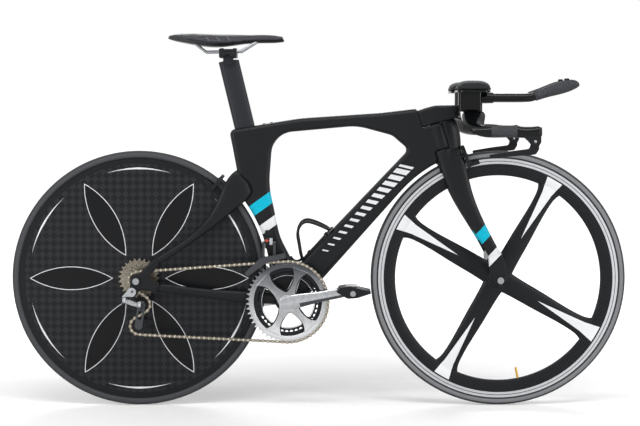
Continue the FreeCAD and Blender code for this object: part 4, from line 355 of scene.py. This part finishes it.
# The tyres: thin black road tyres on both rims. The front one has a grey casing band on each side
# between the black tread and a dark line at the rim; the rear one is darker.
def polar(material, place, axle):
    """Distance from an axle and angle round it, for a wheel that turns about Y."""
    arm = wire(material, "VectorMath", place, axle, operation="SUBTRACT")
    arm = wire(material, "VectorMath", arm, (1.0, 0.0, 1.0), operation="MULTIPLY")
    radius = wire(material, "VectorMath", arm, operation="LENGTH", output=1)
    ahead = wire(material, "SeparateXYZ", arm)
    up = wire(material, "SeparateXYZ", arm, output=2)
    return radius, wire(material, "Math", up, ahead, operation="ARCTAN2")


FRONT_AXLE = (470.0, 0.0, 334.0)
REAR_AXLE = (-470.0, 0.0, 334.0)
CASING_RADIUS, CASING_HALF = 323.0, 4.6
for name, node, axle, casing in (
    ("front_tyre_rubber", "front_tyre", FRONT_AXLE, "#77787b"),
    ("rear_tyre_rubber", "rear_tyre", REAR_AXLE, "#35363a"),
):
    rubber, rubber_shader, rubber_place, tread = mottled(
        name, dark="#1a1b1d", light="#242528", gloss=(0.6, 0.75), grain=0.8, depth=0.00004,
    )
    height, _ = polar(rubber, rubber_place, axle)
    band = wire(rubber, "Math", height, CASING_RADIUS, CASING_HALF, operation="COMPARE")
    shaded = wire(rubber, "MixRGB", band, tread, linear(casing))
    rubber.node_tree.links.new(shaded, rubber_shader.inputs["Base Color"])
    dress(rubber, node)

# The front wheel: a moulded carbon rim with four flat spokes and a hub in one piece. Fine lines
# of the fibre run round it, and a white dagger is painted from the rim down each spoke.
SPOKES = 4
FIRST_SPOKE = math.radians(60.0)
DAGGER_TIP = 120.0
DAGGER_NECK = 255.0
DAGGER_END = 296.0
DAGGER_HALF = 13.0
DAGGER_FLARE = 9.0
FIBRE_PITCH = 6.0
FIBRE_HALF = 0.5
shell_carbon, shell_shader, shell_place, shell_colour = mottled(
    "moulded_wheel_carbon", dark="#0c0d0f", light="#141619", gloss=(0.3, 0.4), grain=1.4,
    depth=0.000005, Specular_IOR_Level=0.16,
)
radius, angle = polar(shell_carbon, shell_place, FRONT_AXLE)
turn = wire(shell_carbon, "Math", angle, FIRST_SPOKE, operation="SUBTRACT")
fold = wire(shell_carbon, "Math", turn, math.pi / SPOKES, operation="PINGPONG")
along = wire(shell_carbon, "Math", fold, operation="COSINE")
along = wire(shell_carbon, "Math", along, radius, operation="MULTIPLY")
aside = wire(shell_carbon, "Math", fold, operation="SINE")
aside = wire(shell_carbon, "Math", aside, radius, operation="MULTIPLY")
blade = wire(shell_carbon, "MapRange", along, DAGGER_TIP, DAGGER_NECK, 0.0, DAGGER_HALF)
flare = wire(shell_carbon, "MapRange", along, DAGGER_NECK, DAGGER_END, 0.0, DAGGER_FLARE)
width = wire(shell_carbon, "Math", blade, flare, operation="ADD")
dagger = wire(shell_carbon, "Math", aside, width, operation="LESS_THAN")
below_track = wire(shell_carbon, "Math", radius, DAGGER_END, operation="LESS_THAN")
dagger = wire(shell_carbon, "Math", dagger, below_track, operation="MULTIPLY")
fibre = wire(shell_carbon, "Math", along, FIBRE_PITCH / 2, operation="PINGPONG")
fibre = wire(shell_carbon, "Math", fibre, FIBRE_HALF, operation="LESS_THAN")
lined = wire(shell_carbon, "MixRGB", fibre, shell_colour, linear("#2b2d31"))
lined = wire(shell_carbon, "MixRGB", dagger, lined, linear("#e9eaeb"))
shell_carbon.node_tree.links.new(lined, shell_shader.inputs["Base Color"])
dress(shell_carbon, "front_wheel_shell")

# The braking bands: rings of machined alloy on both sides of the front rim, bright, with fine
# turning lines round the wheel and one dark wear groove in the middle.
GROOVE_RADIUS, GROOVE_HALF = 307.0, 0.9
LINE_PITCH = 1.6
LINE_HALF = 0.15
track_alloy, track_shader, track_place, track_colour = mottled(
    "machined_track_alloy", dark="#b4b6b9", light="#d6d8da", gloss=(0.3, 0.4), grain=1.2,
    depth=0.00001, Metallic=0.85,
)
height, _ = polar(track_alloy, track_place, FRONT_AXLE)
groove = wire(track_alloy, "Math", height, GROOVE_RADIUS, GROOVE_HALF, operation="COMPARE")
ring = wire(track_alloy, "Math", height, LINE_PITCH / 2, operation="PINGPONG")
ring = wire(track_alloy, "Math", ring, LINE_HALF, operation="LESS_THAN")
banded = wire(track_alloy, "MixRGB", ring, track_colour, linear("#9fa1a5"))
banded = wire(track_alloy, "MixRGB", groove, banded, linear("#4a4b4e"))
track_alloy.node_tree.links.new(banded, track_shader.inputs["Base Color"])
dress(track_alloy, "front_brake_track")

# The valve: a gold coloured stem of turned brass that stands in a hole of the front rim, with a soft
# warm gleam.
brass, _, _, _ = mottled(
    "valve_brass", dark="#b08a2e", light="#d3ab4a", gloss=(0.25, 0.36), grain=0.6, depth=0.00001,
    Metallic=1.0,
)
dress(brass, "front_valve")

# The rear wheel: a closed carbon disc. A broad checked weave shows through the lacquer between six
# black leaf panels with white outlines, and tapered white arcs follow the rim between them.
WEAVE = 14.0
WEAVE_TURN = math.radians(45.0)
WEAVE_RADIUS = 300.0
LEAVES = 6
LEAF_CENTRE = (177.5, -177.6, 0.0)
LEAF_RADIUS = 207.6
OUTLINE_HALF = 0.9
ARC_RADIUS = 288.0
ARC_HALF = 2.6
ARC_SPAN = 0.3
disc_carbon, disc_shader, disc_place, disc_colour = mottled(
    "checked_weave_carbon", dark="#131416", light="#17181b", gloss=(0.3, 0.4), grain=1.4,
    depth=0.000005, Specular_IOR_Level=0.16,
)
flat_place = wire(disc_carbon, "VectorMath", disc_place, (1.0, 0.0, 1.0), operation="MULTIPLY")
turned_place = wire(
    disc_carbon, "VectorRotate", flat_place, None, None, WEAVE_TURN, rotation_type="Y_AXIS"
)
check_place = wire(disc_carbon, "VectorMath", turned_place, (0.0, WEAVE / 4, 0.0), operation="ADD")
check = wire(disc_carbon, "TexChecker", check_place, None, None, 1.0 / WEAVE, output=1)
radius, angle = polar(disc_carbon, disc_place, REAR_AXLE)
inner = wire(disc_carbon, "Math", radius, WEAVE_RADIUS, operation="LESS_THAN")
check = wire(disc_carbon, "Math", check, inner, operation="MULTIPLY")
woven = wire(disc_carbon, "MixRGB", check, disc_colour, linear("#26272a"))
fold = wire(disc_carbon, "Math", angle, math.pi / LEAVES, operation="PINGPONG")
along = wire(disc_carbon, "Math", fold, operation="COSINE")
along = wire(disc_carbon, "Math", along, radius, operation="MULTIPLY")
aside = wire(disc_carbon, "Math", fold, operation="SINE")
aside = wire(disc_carbon, "Math", aside, radius, operation="MULTIPLY")
leaf_arm = wire(disc_carbon, "CombineXYZ", along, aside, 0.0)
leaf = wire(disc_carbon, "VectorMath", leaf_arm, LEAF_CENTRE, operation="DISTANCE", output=1)
in_leaf = wire(disc_carbon, "Math", leaf, LEAF_RADIUS, operation="LESS_THAN")
on_edge = wire(disc_carbon, "Math", leaf, LEAF_RADIUS, OUTLINE_HALF, operation="COMPARE")
off_middle = wire(disc_carbon, "Math", math.pi / LEAVES, fold, operation="SUBTRACT")
arc_half = wire(disc_carbon, "MapRange", off_middle, 0.0, ARC_SPAN, ARC_HALF, 0.0)
arc = wire(disc_carbon, "Math", radius, ARC_RADIUS, arc_half, operation="COMPARE")
marked = wire(disc_carbon, "Math", on_edge, arc, operation="MAXIMUM")
panelled = wire(disc_carbon, "MixRGB", in_leaf, woven, linear("#0b0c0e"))
panelled = wire(disc_carbon, "MixRGB", marked, panelled, linear("#dfe0e2"))
disc_carbon.node_tree.links.new(panelled, disc_shader.inputs["Base Color"])
dress(disc_carbon, "rear_disc")

# The chain and cogs: nickel plated steel with a warm champagne tint and small bright scratches.
# The chain runs over the big ring, the smallest cog and the two pulleys.
nickel, _, _, _ = mottled(
    "nickel_plated_steel", dark="#5b564e", light="#a39b8c", gloss=(0.25, 0.35), grain=3.2,
    depth=0.00001, Metallic=0.9,
)
dress(nickel, "chain", "cassette_cogs")

# The crankset: forged alloy cranks polished to a soft silver grey, with painted shade on their lower
# flank, a big ring with a painted reflection from dark grey at the top to bright silver at the bottom,
# and a black inner ring, bolted on the spider's four arms.
HUB = (-80.0, 0.0, 277.0)
CRANK_ANGLE = math.radians(11.0)
BRIGHT_HEIGHT = -80.0
GREY_HEIGHT = 85.0
FLANK_HEIGHT = -5.5
FLANK_START = 30.0
polished, _, _, _ = mottled(
    "polished_alloy", dark="#9b9da0", light="#adafb2", gloss=(0.2, 0.26), grain=9.0, depth=0.000001,
    stretch=(1.0, 1.0, 0.4), Metallic=0.9,
)
alloy_with_painted_reflection, graded_shader, graded_place, graded_colour = mottled(
    "alloy_with_painted_reflection", dark="#cbccce", light="#d6d7d9", gloss=(0.2, 0.26), grain=9.0, depth=0.000001,
    stretch=(1.0, 1.0, 0.4), Metallic=0.85,
)
# Painted reflection: bright silver low down fading to dark grey high up, on the ring and the spider's
# face.
from_hub = wire(alloy_with_painted_reflection, "VectorMath", graded_place, HUB, operation="SUBTRACT")
height = wire(alloy_with_painted_reflection, "SeparateXYZ", from_hub, output=2)
shade = wire(alloy_with_painted_reflection, "MapRange", height, BRIGHT_HEIGHT, GREY_HEIGHT, 0.0, 1.0)
graded = wire(alloy_with_painted_reflection, "MixRGB", shade, graded_colour, linear("#4c4e52"))
alloy_with_painted_reflection.node_tree.links.new(graded, graded_shader.inputs["Base Color"])
dress(alloy_with_painted_reflection, "big_chainring")
crank_alloy, crank_shader, crank_place, crank_colour = mottled(
    "polished_crank_alloy_painted_shade", dark="#a5a7aa", light="#b4b6b8", gloss=(0.2, 0.26), grain=9.0,
    depth=0.000001, stretch=(1.0, 1.0, 0.4), Metallic=0.9,
)
from_hub = wire(crank_alloy, "VectorMath", crank_place, HUB, operation="SUBTRACT")
upwards = (-math.sin(CRANK_ANGLE), 0.0, math.cos(CRANK_ANGLE))
lengthways = (math.cos(CRANK_ANGLE), 0.0, math.sin(CRANK_ANGLE))
height = wire(crank_alloy, "VectorMath", from_hub, upwards, operation="DOT_PRODUCT", output=1)
reach = wire(crank_alloy, "VectorMath", from_hub, lengthways, operation="DOT_PRODUCT", output=1)
# Painted shade: the lower flank of each arm past the hub is darkened where its downward bevel is
# shaded.
low_side = wire(crank_alloy, "Math", height, FLANK_HEIGHT, operation="LESS_THAN")
past_hub = wire(crank_alloy, "Math", reach, FLANK_START, operation="GREATER_THAN")
flank = wire(crank_alloy, "Math", low_side, past_hub, operation="MULTIPLY")
painted_shade_flank_colour = wire(crank_alloy, "MixRGB", flank, crank_colour, linear("#47494d"))
crank_alloy.node_tree.links.new(painted_shade_flank_colour, crank_shader.inputs["Base Color"])
dress(crank_alloy, "right_crank_arm", "left_crank_arm")
dress(anodised, "small_chainring")
dress(steel, "chainring_bolts")

# The derailleurs: a dark grey front cage on a black body, and a rear one with a bright knuckle, a
# polished link and a dark grey cage round its two moulded pulleys.
dress(polished, "rear_derailleur_knuckle", "rear_derailleur_link")
dress(anodised, "front_derailleur_body")
dress(plastic, "guide_pulley", "tension_pulley")
grey_alloy, _, _, _ = mottled(
    "dark_grey_alloy", dark="#35363a", light="#4c4e52", gloss=(0.3, 0.42), grain=2.0, depth=0.000003,
    Metallic=0.7,
)
dress(grey_alloy, "rear_derailleur_cage", "rear_derailleur_lower_knuckle", "front_derailleur_cage")

# The crank's spider: four polished arms forged with the crank. Each flows out from the hub, is waisted
# in the middle and spreads into a rounded rim on the face of the big ring. A black plate, a little
# wider,
# backs it as painted shade: a dark edge round each arm and inside the rim.
BRACKET = Vector(HUB) / 1000
ARM_TURNS = (58.0, 126.0, 234.0, 302.0)
ARM_WAISTS = (0.0062, 0.0095, 0.0075, 0.0075)
ARM_ROOT = 0.014
ARM_STEP = 0.0042
ARM_STATIONS = 19
ARM_MIDDLE = 0.052
ROOT_LENGTH = 0.036
ROOT_SPREAD = 0.009
RIM_LENGTH = 0.038
RIM_SPREAD = 0.018
DISH_END = 0.075
DISH_LENGTH = 0.055
ARM_DEPTH = 0.0038
ARM_EDGE = 0.0018
RIM_DEPTH = 0.0036
RING_STEPS = 120
FULLY_ROUND = 0.48


def finished(shape, name, material, body):
    """Closes a mesh up as a smooth piece that rides a body and takes a slot's finish."""
    bmesh.ops.remove_doubles(shape, verts=shape.verts, dist=0.000001)
    bmesh.ops.recalc_face_normals(shape, faces=shape.faces)
    for face in shape.faces:
        face.smooth = True
    mesh = bpy.data.meshes.new(name)
    shape.to_mesh(mesh)
    shape.free()
    mesh.materials.append(material)
    piece = bpy.data.objects.new(name, mesh)
    bpy.context.scene.collection.objects.link(piece)
    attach(piece, body)
    return piece


def rounded_profile(shape, middle, size, turn, edge):
    """A flat oblong with rounded corners; turn places it in space."""
    made = bmesh.ops.create_grid(shape, x_segments=1, y_segments=1, size=0.5)["verts"]
    bmesh.ops.scale(shape, vec=(size[0], size[1], 1.0), verts=made)
    bmesh.ops.rotate(shape, matrix=turn, verts=made)
    bmesh.ops.translate(shape, vec=middle, verts=made)
    rounded = bmesh.ops.bevel(
        shape, geom=made, offset=edge, offset_type="OFFSET", segments=4, profile=0.5, affect="VERTICES",
        material=-1,
    )
    return rounded["verts"][0].link_faces[0]


def add_ring(shape, face, inner, outer, depth):
    """A flat ring with rounded edges, spun round the bracket's axis."""
    middle = BRACKET + Vector(((inner + outer) / 2, face, 0.0))
    edge = FULLY_ROUND * min(depth, outer - inner)
    profile = rounded_profile(shape, middle, (outer - inner, depth), Matrix.Identity(3), edge)
    outline = list(profile.edges)
    bmesh.ops.delete(shape, geom=[profile], context="FACES_ONLY")
    bmesh.ops.spin(
        shape, geom=outline, cent=BRACKET, axis=(0.0, 1.0, 0.0), angle=math.tau, steps=RING_STEPS,
        use_merge=True,
    )


def spider(face, grow, inner, outer, dish):
    """The four arms and their rim, at a depth; grow widens the arms, dish lifts them at the hub."""
    shape = bmesh.new()
    upright = Matrix.Rotation(math.radians(90.0), 3, "X") @ Matrix.Rotation(math.radians(90.0), 3, "Y")
    for turn, waist in zip(ARM_TURNS, ARM_WAISTS):
        arm = []
        for station in range(ARM_STATIONS):
            reach = ARM_ROOT + ARM_STEP * station
            root_spread = max(0.0, (ARM_MIDDLE - reach) / ROOT_LENGTH) ** 2
            rim_spread = max(0.0, (reach - ARM_MIDDLE) / RIM_LENGTH) ** 2.4
            half = waist + grow + ROOT_SPREAD * root_spread + RIM_SPREAD * rim_spread
            rise = min(max((DISH_END - reach) / DISH_LENGTH, 0.0), 1.0)
            middle = Vector((reach, face - dish * rise * rise * (3 - 2 * rise), 0.0))
            if not arm:
                tip = rounded_profile(shape, middle, (ARM_DEPTH, 2 * half), upright, ARM_EDGE)
            else:
                made = bmesh.ops.extrude_face_region(shape, geom=[tip])["geom"]
                if station > 1:
                    bmesh.ops.delete(shape, geom=[tip], context="FACES_ONLY")
                tip = [item for item in made if isinstance(item, bmesh.types.BMFace)][0]
                bmesh.ops.scale(shape, vec=(1.0, 1.0, half / last_half), verts=tip.verts)
                bmesh.ops.translate(shape, vec=middle - last_middle, verts=tip.verts)
            arm += list(tip.verts)
            last_half, last_middle = half, middle
        heading = Matrix.Rotation(-CRANK_ANGLE - math.radians(turn), 3, "Y")
        bmesh.ops.rotate(shape, matrix=heading, verts=arm)
        bmesh.ops.translate(shape, vec=BRACKET, verts=arm)
    add_ring(shape, face, inner, outer, RIM_DEPTH)
    return shape


shape = spider(face=-0.0502, grow=0.0, inner=0.088, outer=0.0995, dish=0.0105)
finished(shape, "crank_spider_face", alloy_with_painted_reflection, "crankset")
# Painted shade: the wider black copy behind the spider darkens the edges round its arms and rim.
shape = spider(face=-0.0446, grow=0.0025, inner=0.0785, outer=0.0905, dish=0.0)
finished(shape, "crank_spider_shadow_plate", anodised, "crankset")
shape = bmesh.new()
add_ring(shape, face=-0.0412, inner=0.0672, outer=0.0688, depth=0.0012)
finished(shape, "small_ring_bright_edge", polished, "crankset")


# The pedals: matt black moulded bodies that turn on steel spindles. A thin steel plate is let into the
# top of each, where the cleat rubs it bright.
PLATE_SIZE = (0.030, 0.042, 0.0036)
PLATE_BACK = 0.006
PLATE_SINK = 0.0012
PLATE_EDGE = 0.0012


def rounded_box(shape, centre, size, edge):
    """A box with rounded edges, in metres."""
    made = bmesh.ops.create_cube(shape, size=1.0)["verts"]
    bmesh.ops.scale(shape, vec=size, verts=made)
    bmesh.ops.translate(shape, vec=centre, verts=made)
    edges = list({edge_of for vertex in made for edge_of in vertex.link_edges})
    bmesh.ops.bevel(
        shape, geom=edges, offset=edge, offset_type="OFFSET", segments=3, profile=0.5, affect="EDGES",
        material=-1,
    )


dress(plastic, "right_pedal", "left_pedal")
dress(steel, "pedal_spindles")
for body in ("right_pedal", "left_pedal"):
    low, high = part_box(body)
    middle = (Vector(low) + Vector(high)) / 2
    shape = bmesh.new()
    rounded_box(shape, (middle.x - PLATE_BACK, middle.y, high[2] - PLATE_SINK), PLATE_SIZE, PLATE_EDGE)
    finished(shape, body + "_cleat_plate", steel, body)

# The front derailleur's trim: a red plastic cap over its motor and a bright adjuster barrel, both
# pressed into the outer face of its body.
CAP_SIZE, CAP_EDGE = (0.0085, 0.003, 0.0062), 0.0009
BARREL_SIZE, BARREL_EDGE = (0.0085, 0.0046, 0.0190), 0.0020
outer_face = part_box("front_derailleur_body")[0][1]
motor_red, _, _, _ = mottled(
    "red_motor_cap", dark="#a8301c", light="#c8412a", gloss=(0.35, 0.45), grain=1.0, depth=0.00002,
)
shape = bmesh.new()
rounded_box(shape, (-0.1345, outer_face - 0.0004, 0.4355), CAP_SIZE, CAP_EDGE)
finished(shape, "front_derailleur_cap", motor_red, "frame")
shape = bmesh.new()
rounded_box(shape, (-0.1235, outer_face - 0.0006, 0.4330), BARREL_SIZE, BARREL_EDGE)
finished(shape, "front_derailleur_barrel", polished, "frame")

# The chain's pins: the bright riveted end of each pin, pressed through the outer plates where two
# links meet. Their places come from the middles of neighbouring links.
PITCH = 0.0127
NEIGHBOURS = 1.2 * PITCH
PIN_RADIUS = 0.0023
PIN_DOME = 0.35
PIN_PROUD = 0.0002
shape = bmesh.new()
shape.from_mesh(nodes["chain"].data)
bmesh.ops.remove_doubles(shape, verts=shape.verts, dist=0.00001)
unvisited = set(shape.verts)
links = []
while unvisited:
    waiting = [unvisited.pop()]
    corners = []
    while waiting:
        vertex = waiting.pop()
        corners.append(vertex.co)
        for edge_of in vertex.link_edges:
            other = edge_of.other_vert(vertex)
            if other in unvisited:
                unvisited.remove(other)
                waiting.append(other)
    low = Vector([min(corner[axis] for corner in corners) for axis in range(3)])
    high = Vector([max(corner[axis] for corner in corners) for axis in range(3)])
    links.append(((low + high) / 2, low.y))
shape.free()
links.sort(key=lambda link: tuple(link[0]))
shape = bmesh.new()
for index, (middle, outer) in enumerate(links):
    for other_middle, other_outer in links[index + 1:]:
        if (other_middle - middle).length > NEIGHBOURS:
            continue
        pin = (middle + other_middle) / 2
        pin.y = min(outer, other_outer) - PIN_PROUD
        made = bmesh.ops.create_uvsphere(shape, u_segments=12, v_segments=6, radius=PIN_RADIUS)["verts"]
        bmesh.ops.scale(shape, vec=(1.0, PIN_DOME, 1.0), verts=made)
        bmesh.ops.translate(shape, vec=pin, verts=made)
bright_nickel, _, _, _ = mottled(
    "bright_nickel", dark="#b7ae9d", light="#d2cabb", gloss=(0.2, 0.3), grain=4.0, depth=0.000002,
    Metallic=0.9,
)
finished(shape, "chain_pins", bright_nickel, "frame")

# The rear derailleur's trim: a dark steel pivot bolt with a domed head, screwed into the eye of the
# upper knuckle.
BOLT_RADIUS = 0.0030
BOLT_DOME = 0.4
BOLT_SINK = 0.0004
outer_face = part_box("rear_derailleur_knuckle")[0][1]
shape = bmesh.new()
made = bmesh.ops.create_uvsphere(shape, u_segments=20, v_segments=10, radius=BOLT_RADIUS)["verts"]
bmesh.ops.scale(shape, vec=(1.0, BOLT_DOME, 1.0), verts=made)
bmesh.ops.translate(shape, vec=(-0.479, outer_face + BOLT_SINK, 0.308), verts=made)
finished(shape, "derailleur_pivot_bolt", black_steel, "frame")

# The lever pins: bright steel pins pressed across the cheeks of the lever brackets. The brake levers
# turn on them.
LEVER_PIN_RADIUS = 0.0034
LEVER_PIN_LENGTH = 0.0172
shape = bmesh.new()
for side in (-1.0, 1.0):
    turned = Matrix.Rotation(math.radians(90.0), 4, "X")
    turned.translation = (0.53767, side * 0.190, 0.69606)
    bmesh.ops.create_cone(
        shape, cap_ends=True, segments=24, radius1=LEVER_PIN_RADIUS, radius2=LEVER_PIN_RADIUS,
        depth=LEVER_PIN_LENGTH, matrix=turned,
    )
finished(shape, "lever_pin_heads", steel, "steering")

# The stage: a white floor that keeps the shadows, a white background, long soft lamps above and
# at the sides, and a camera on the drive side below saddle height, three and a half metres away.
FLOOR_HALF = 30.0
GLOW_NEAR, GLOW_FAR = 300.0, 3000.0
GLOW_LEVELS = (0.12, 0.85)
SEEN_RAYS = (0, 3, 6)
floor_mesh = bpy.data.meshes.new("floor")
shape = bmesh.new()
bmesh.ops.create_grid(shape, x_segments=1, y_segments=1, size=FLOOR_HALF)
shape.to_mesh(floor_mesh)
shape.free()
floor = bpy.data.objects.new("floor", floor_mesh)
bpy.context.scene.collection.objects.link(floor)
floor_paint, floor_shader, floor_place, _ = mottled(
    "white_studio_floor", dark="#e6e6e6", light="#eaeaea", gloss=(0.85, 0.95), grain=40.0, depth=0.0,
)
floor_mesh.materials.append(floor_paint)
sights = [wire(floor_paint, "LightPath", output=ray) for ray in SEEN_RAYS]
seen = wire(floor_paint, "Math", sights[0], sights[1], operation="MAXIMUM")
seen = wire(floor_paint, "Math", seen, sights[2], operation="MAXIMUM")
away = wire(floor_paint, "VectorMath", floor_place, operation="LENGTH", output=1)
haze = wire(floor_paint, "MapRange", away, GLOW_NEAR, GLOW_FAR, *GLOW_LEVELS)
seen = wire(floor_paint, "Math", seen, haze, operation="MULTIPLY")
glow = wire(floor_paint, "Emission", (1.0, 1.0, 1.0, 1.0), seen)
lit_floor = wire(floor_paint, "AddShader", floor_shader.outputs[0], glow)
floor_output = floor_paint.node_tree.nodes["Material Output"]
floor_paint.node_tree.links.new(lit_floor, floor_output.inputs["Surface"])

world = bpy.data.worlds.new("studio")
bpy.context.scene.world = world
world.use_nodes = True
surround = world.node_tree.nodes["Background"].inputs
surround["Color"].default_value = (1.0, 1.0, 1.0, 1.0)
sights = [wire(world, "LightPath", output=ray) for ray in SEEN_RAYS]
seen = wire(world, "Math", sights[0], sights[1], operation="MAXIMUM")
seen = wire(world, "Math", seen, sights[2], operation="MAXIMUM")
level = wire(world, "MapRange", seen, 0.0, 1.0, 0.3, 1.0)
world.node_tree.links.new(level, surround["Strength"])

for name, place, aim, wide, tall, power in (
    ("top_softbox", (0.0, -1.0, 2.4), (0.0, 0.0, 0.5), 3.0, 0.4, 36.0),
    ("left_softbox", (-2.3, -1.9, 1.1), (-0.3, 0.0, 0.5), 0.4, 2.0, 28.0),
    ("right_softbox", (2.4, -1.7, 1.1), (0.4, 0.0, 0.5), 0.4, 2.0, 28.0),
    ("back_softbox", (0.0, 2.3, 2.0), (0.0, 0.0, 0.5), 3.0, 0.5, 34.0),
):
    lamp = bpy.data.lights.new(name, "AREA")
    lamp.shape = "RECTANGLE"
    lamp.size = wide
    lamp.size_y = tall
    lamp.energy = power
    holder = bpy.data.objects.new(name, lamp)
    holder.location = place
    holder.rotation_euler = (Vector(aim) - Vector(place)).to_track_quat("-Z", "Y").to_euler()
    bpy.context.scene.collection.objects.link(holder)

CAMERA_PLACE = Vector((0.0035, -3.6, 0.77))
CAMERA_AIM = Vector((0.0035, 0.0, 0.6757))
camera_data = bpy.data.cameras.new("camera")
camera_data.sensor_fit = "HORIZONTAL"
camera_data.angle = math.radians(26.22)
camera_data.shift_y = -0.102
camera = bpy.data.objects.new("camera", camera_data)
camera.location = CAMERA_PLACE
camera.rotation_euler = (CAMERA_AIM - CAMERA_PLACE).to_track_quat("-Z", "Y").to_euler()
bpy.context.scene.collection.objects.link(camera)
bpy.context.scene.camera = camera
bpy.context.scene.view_settings.view_transform = "Standard"
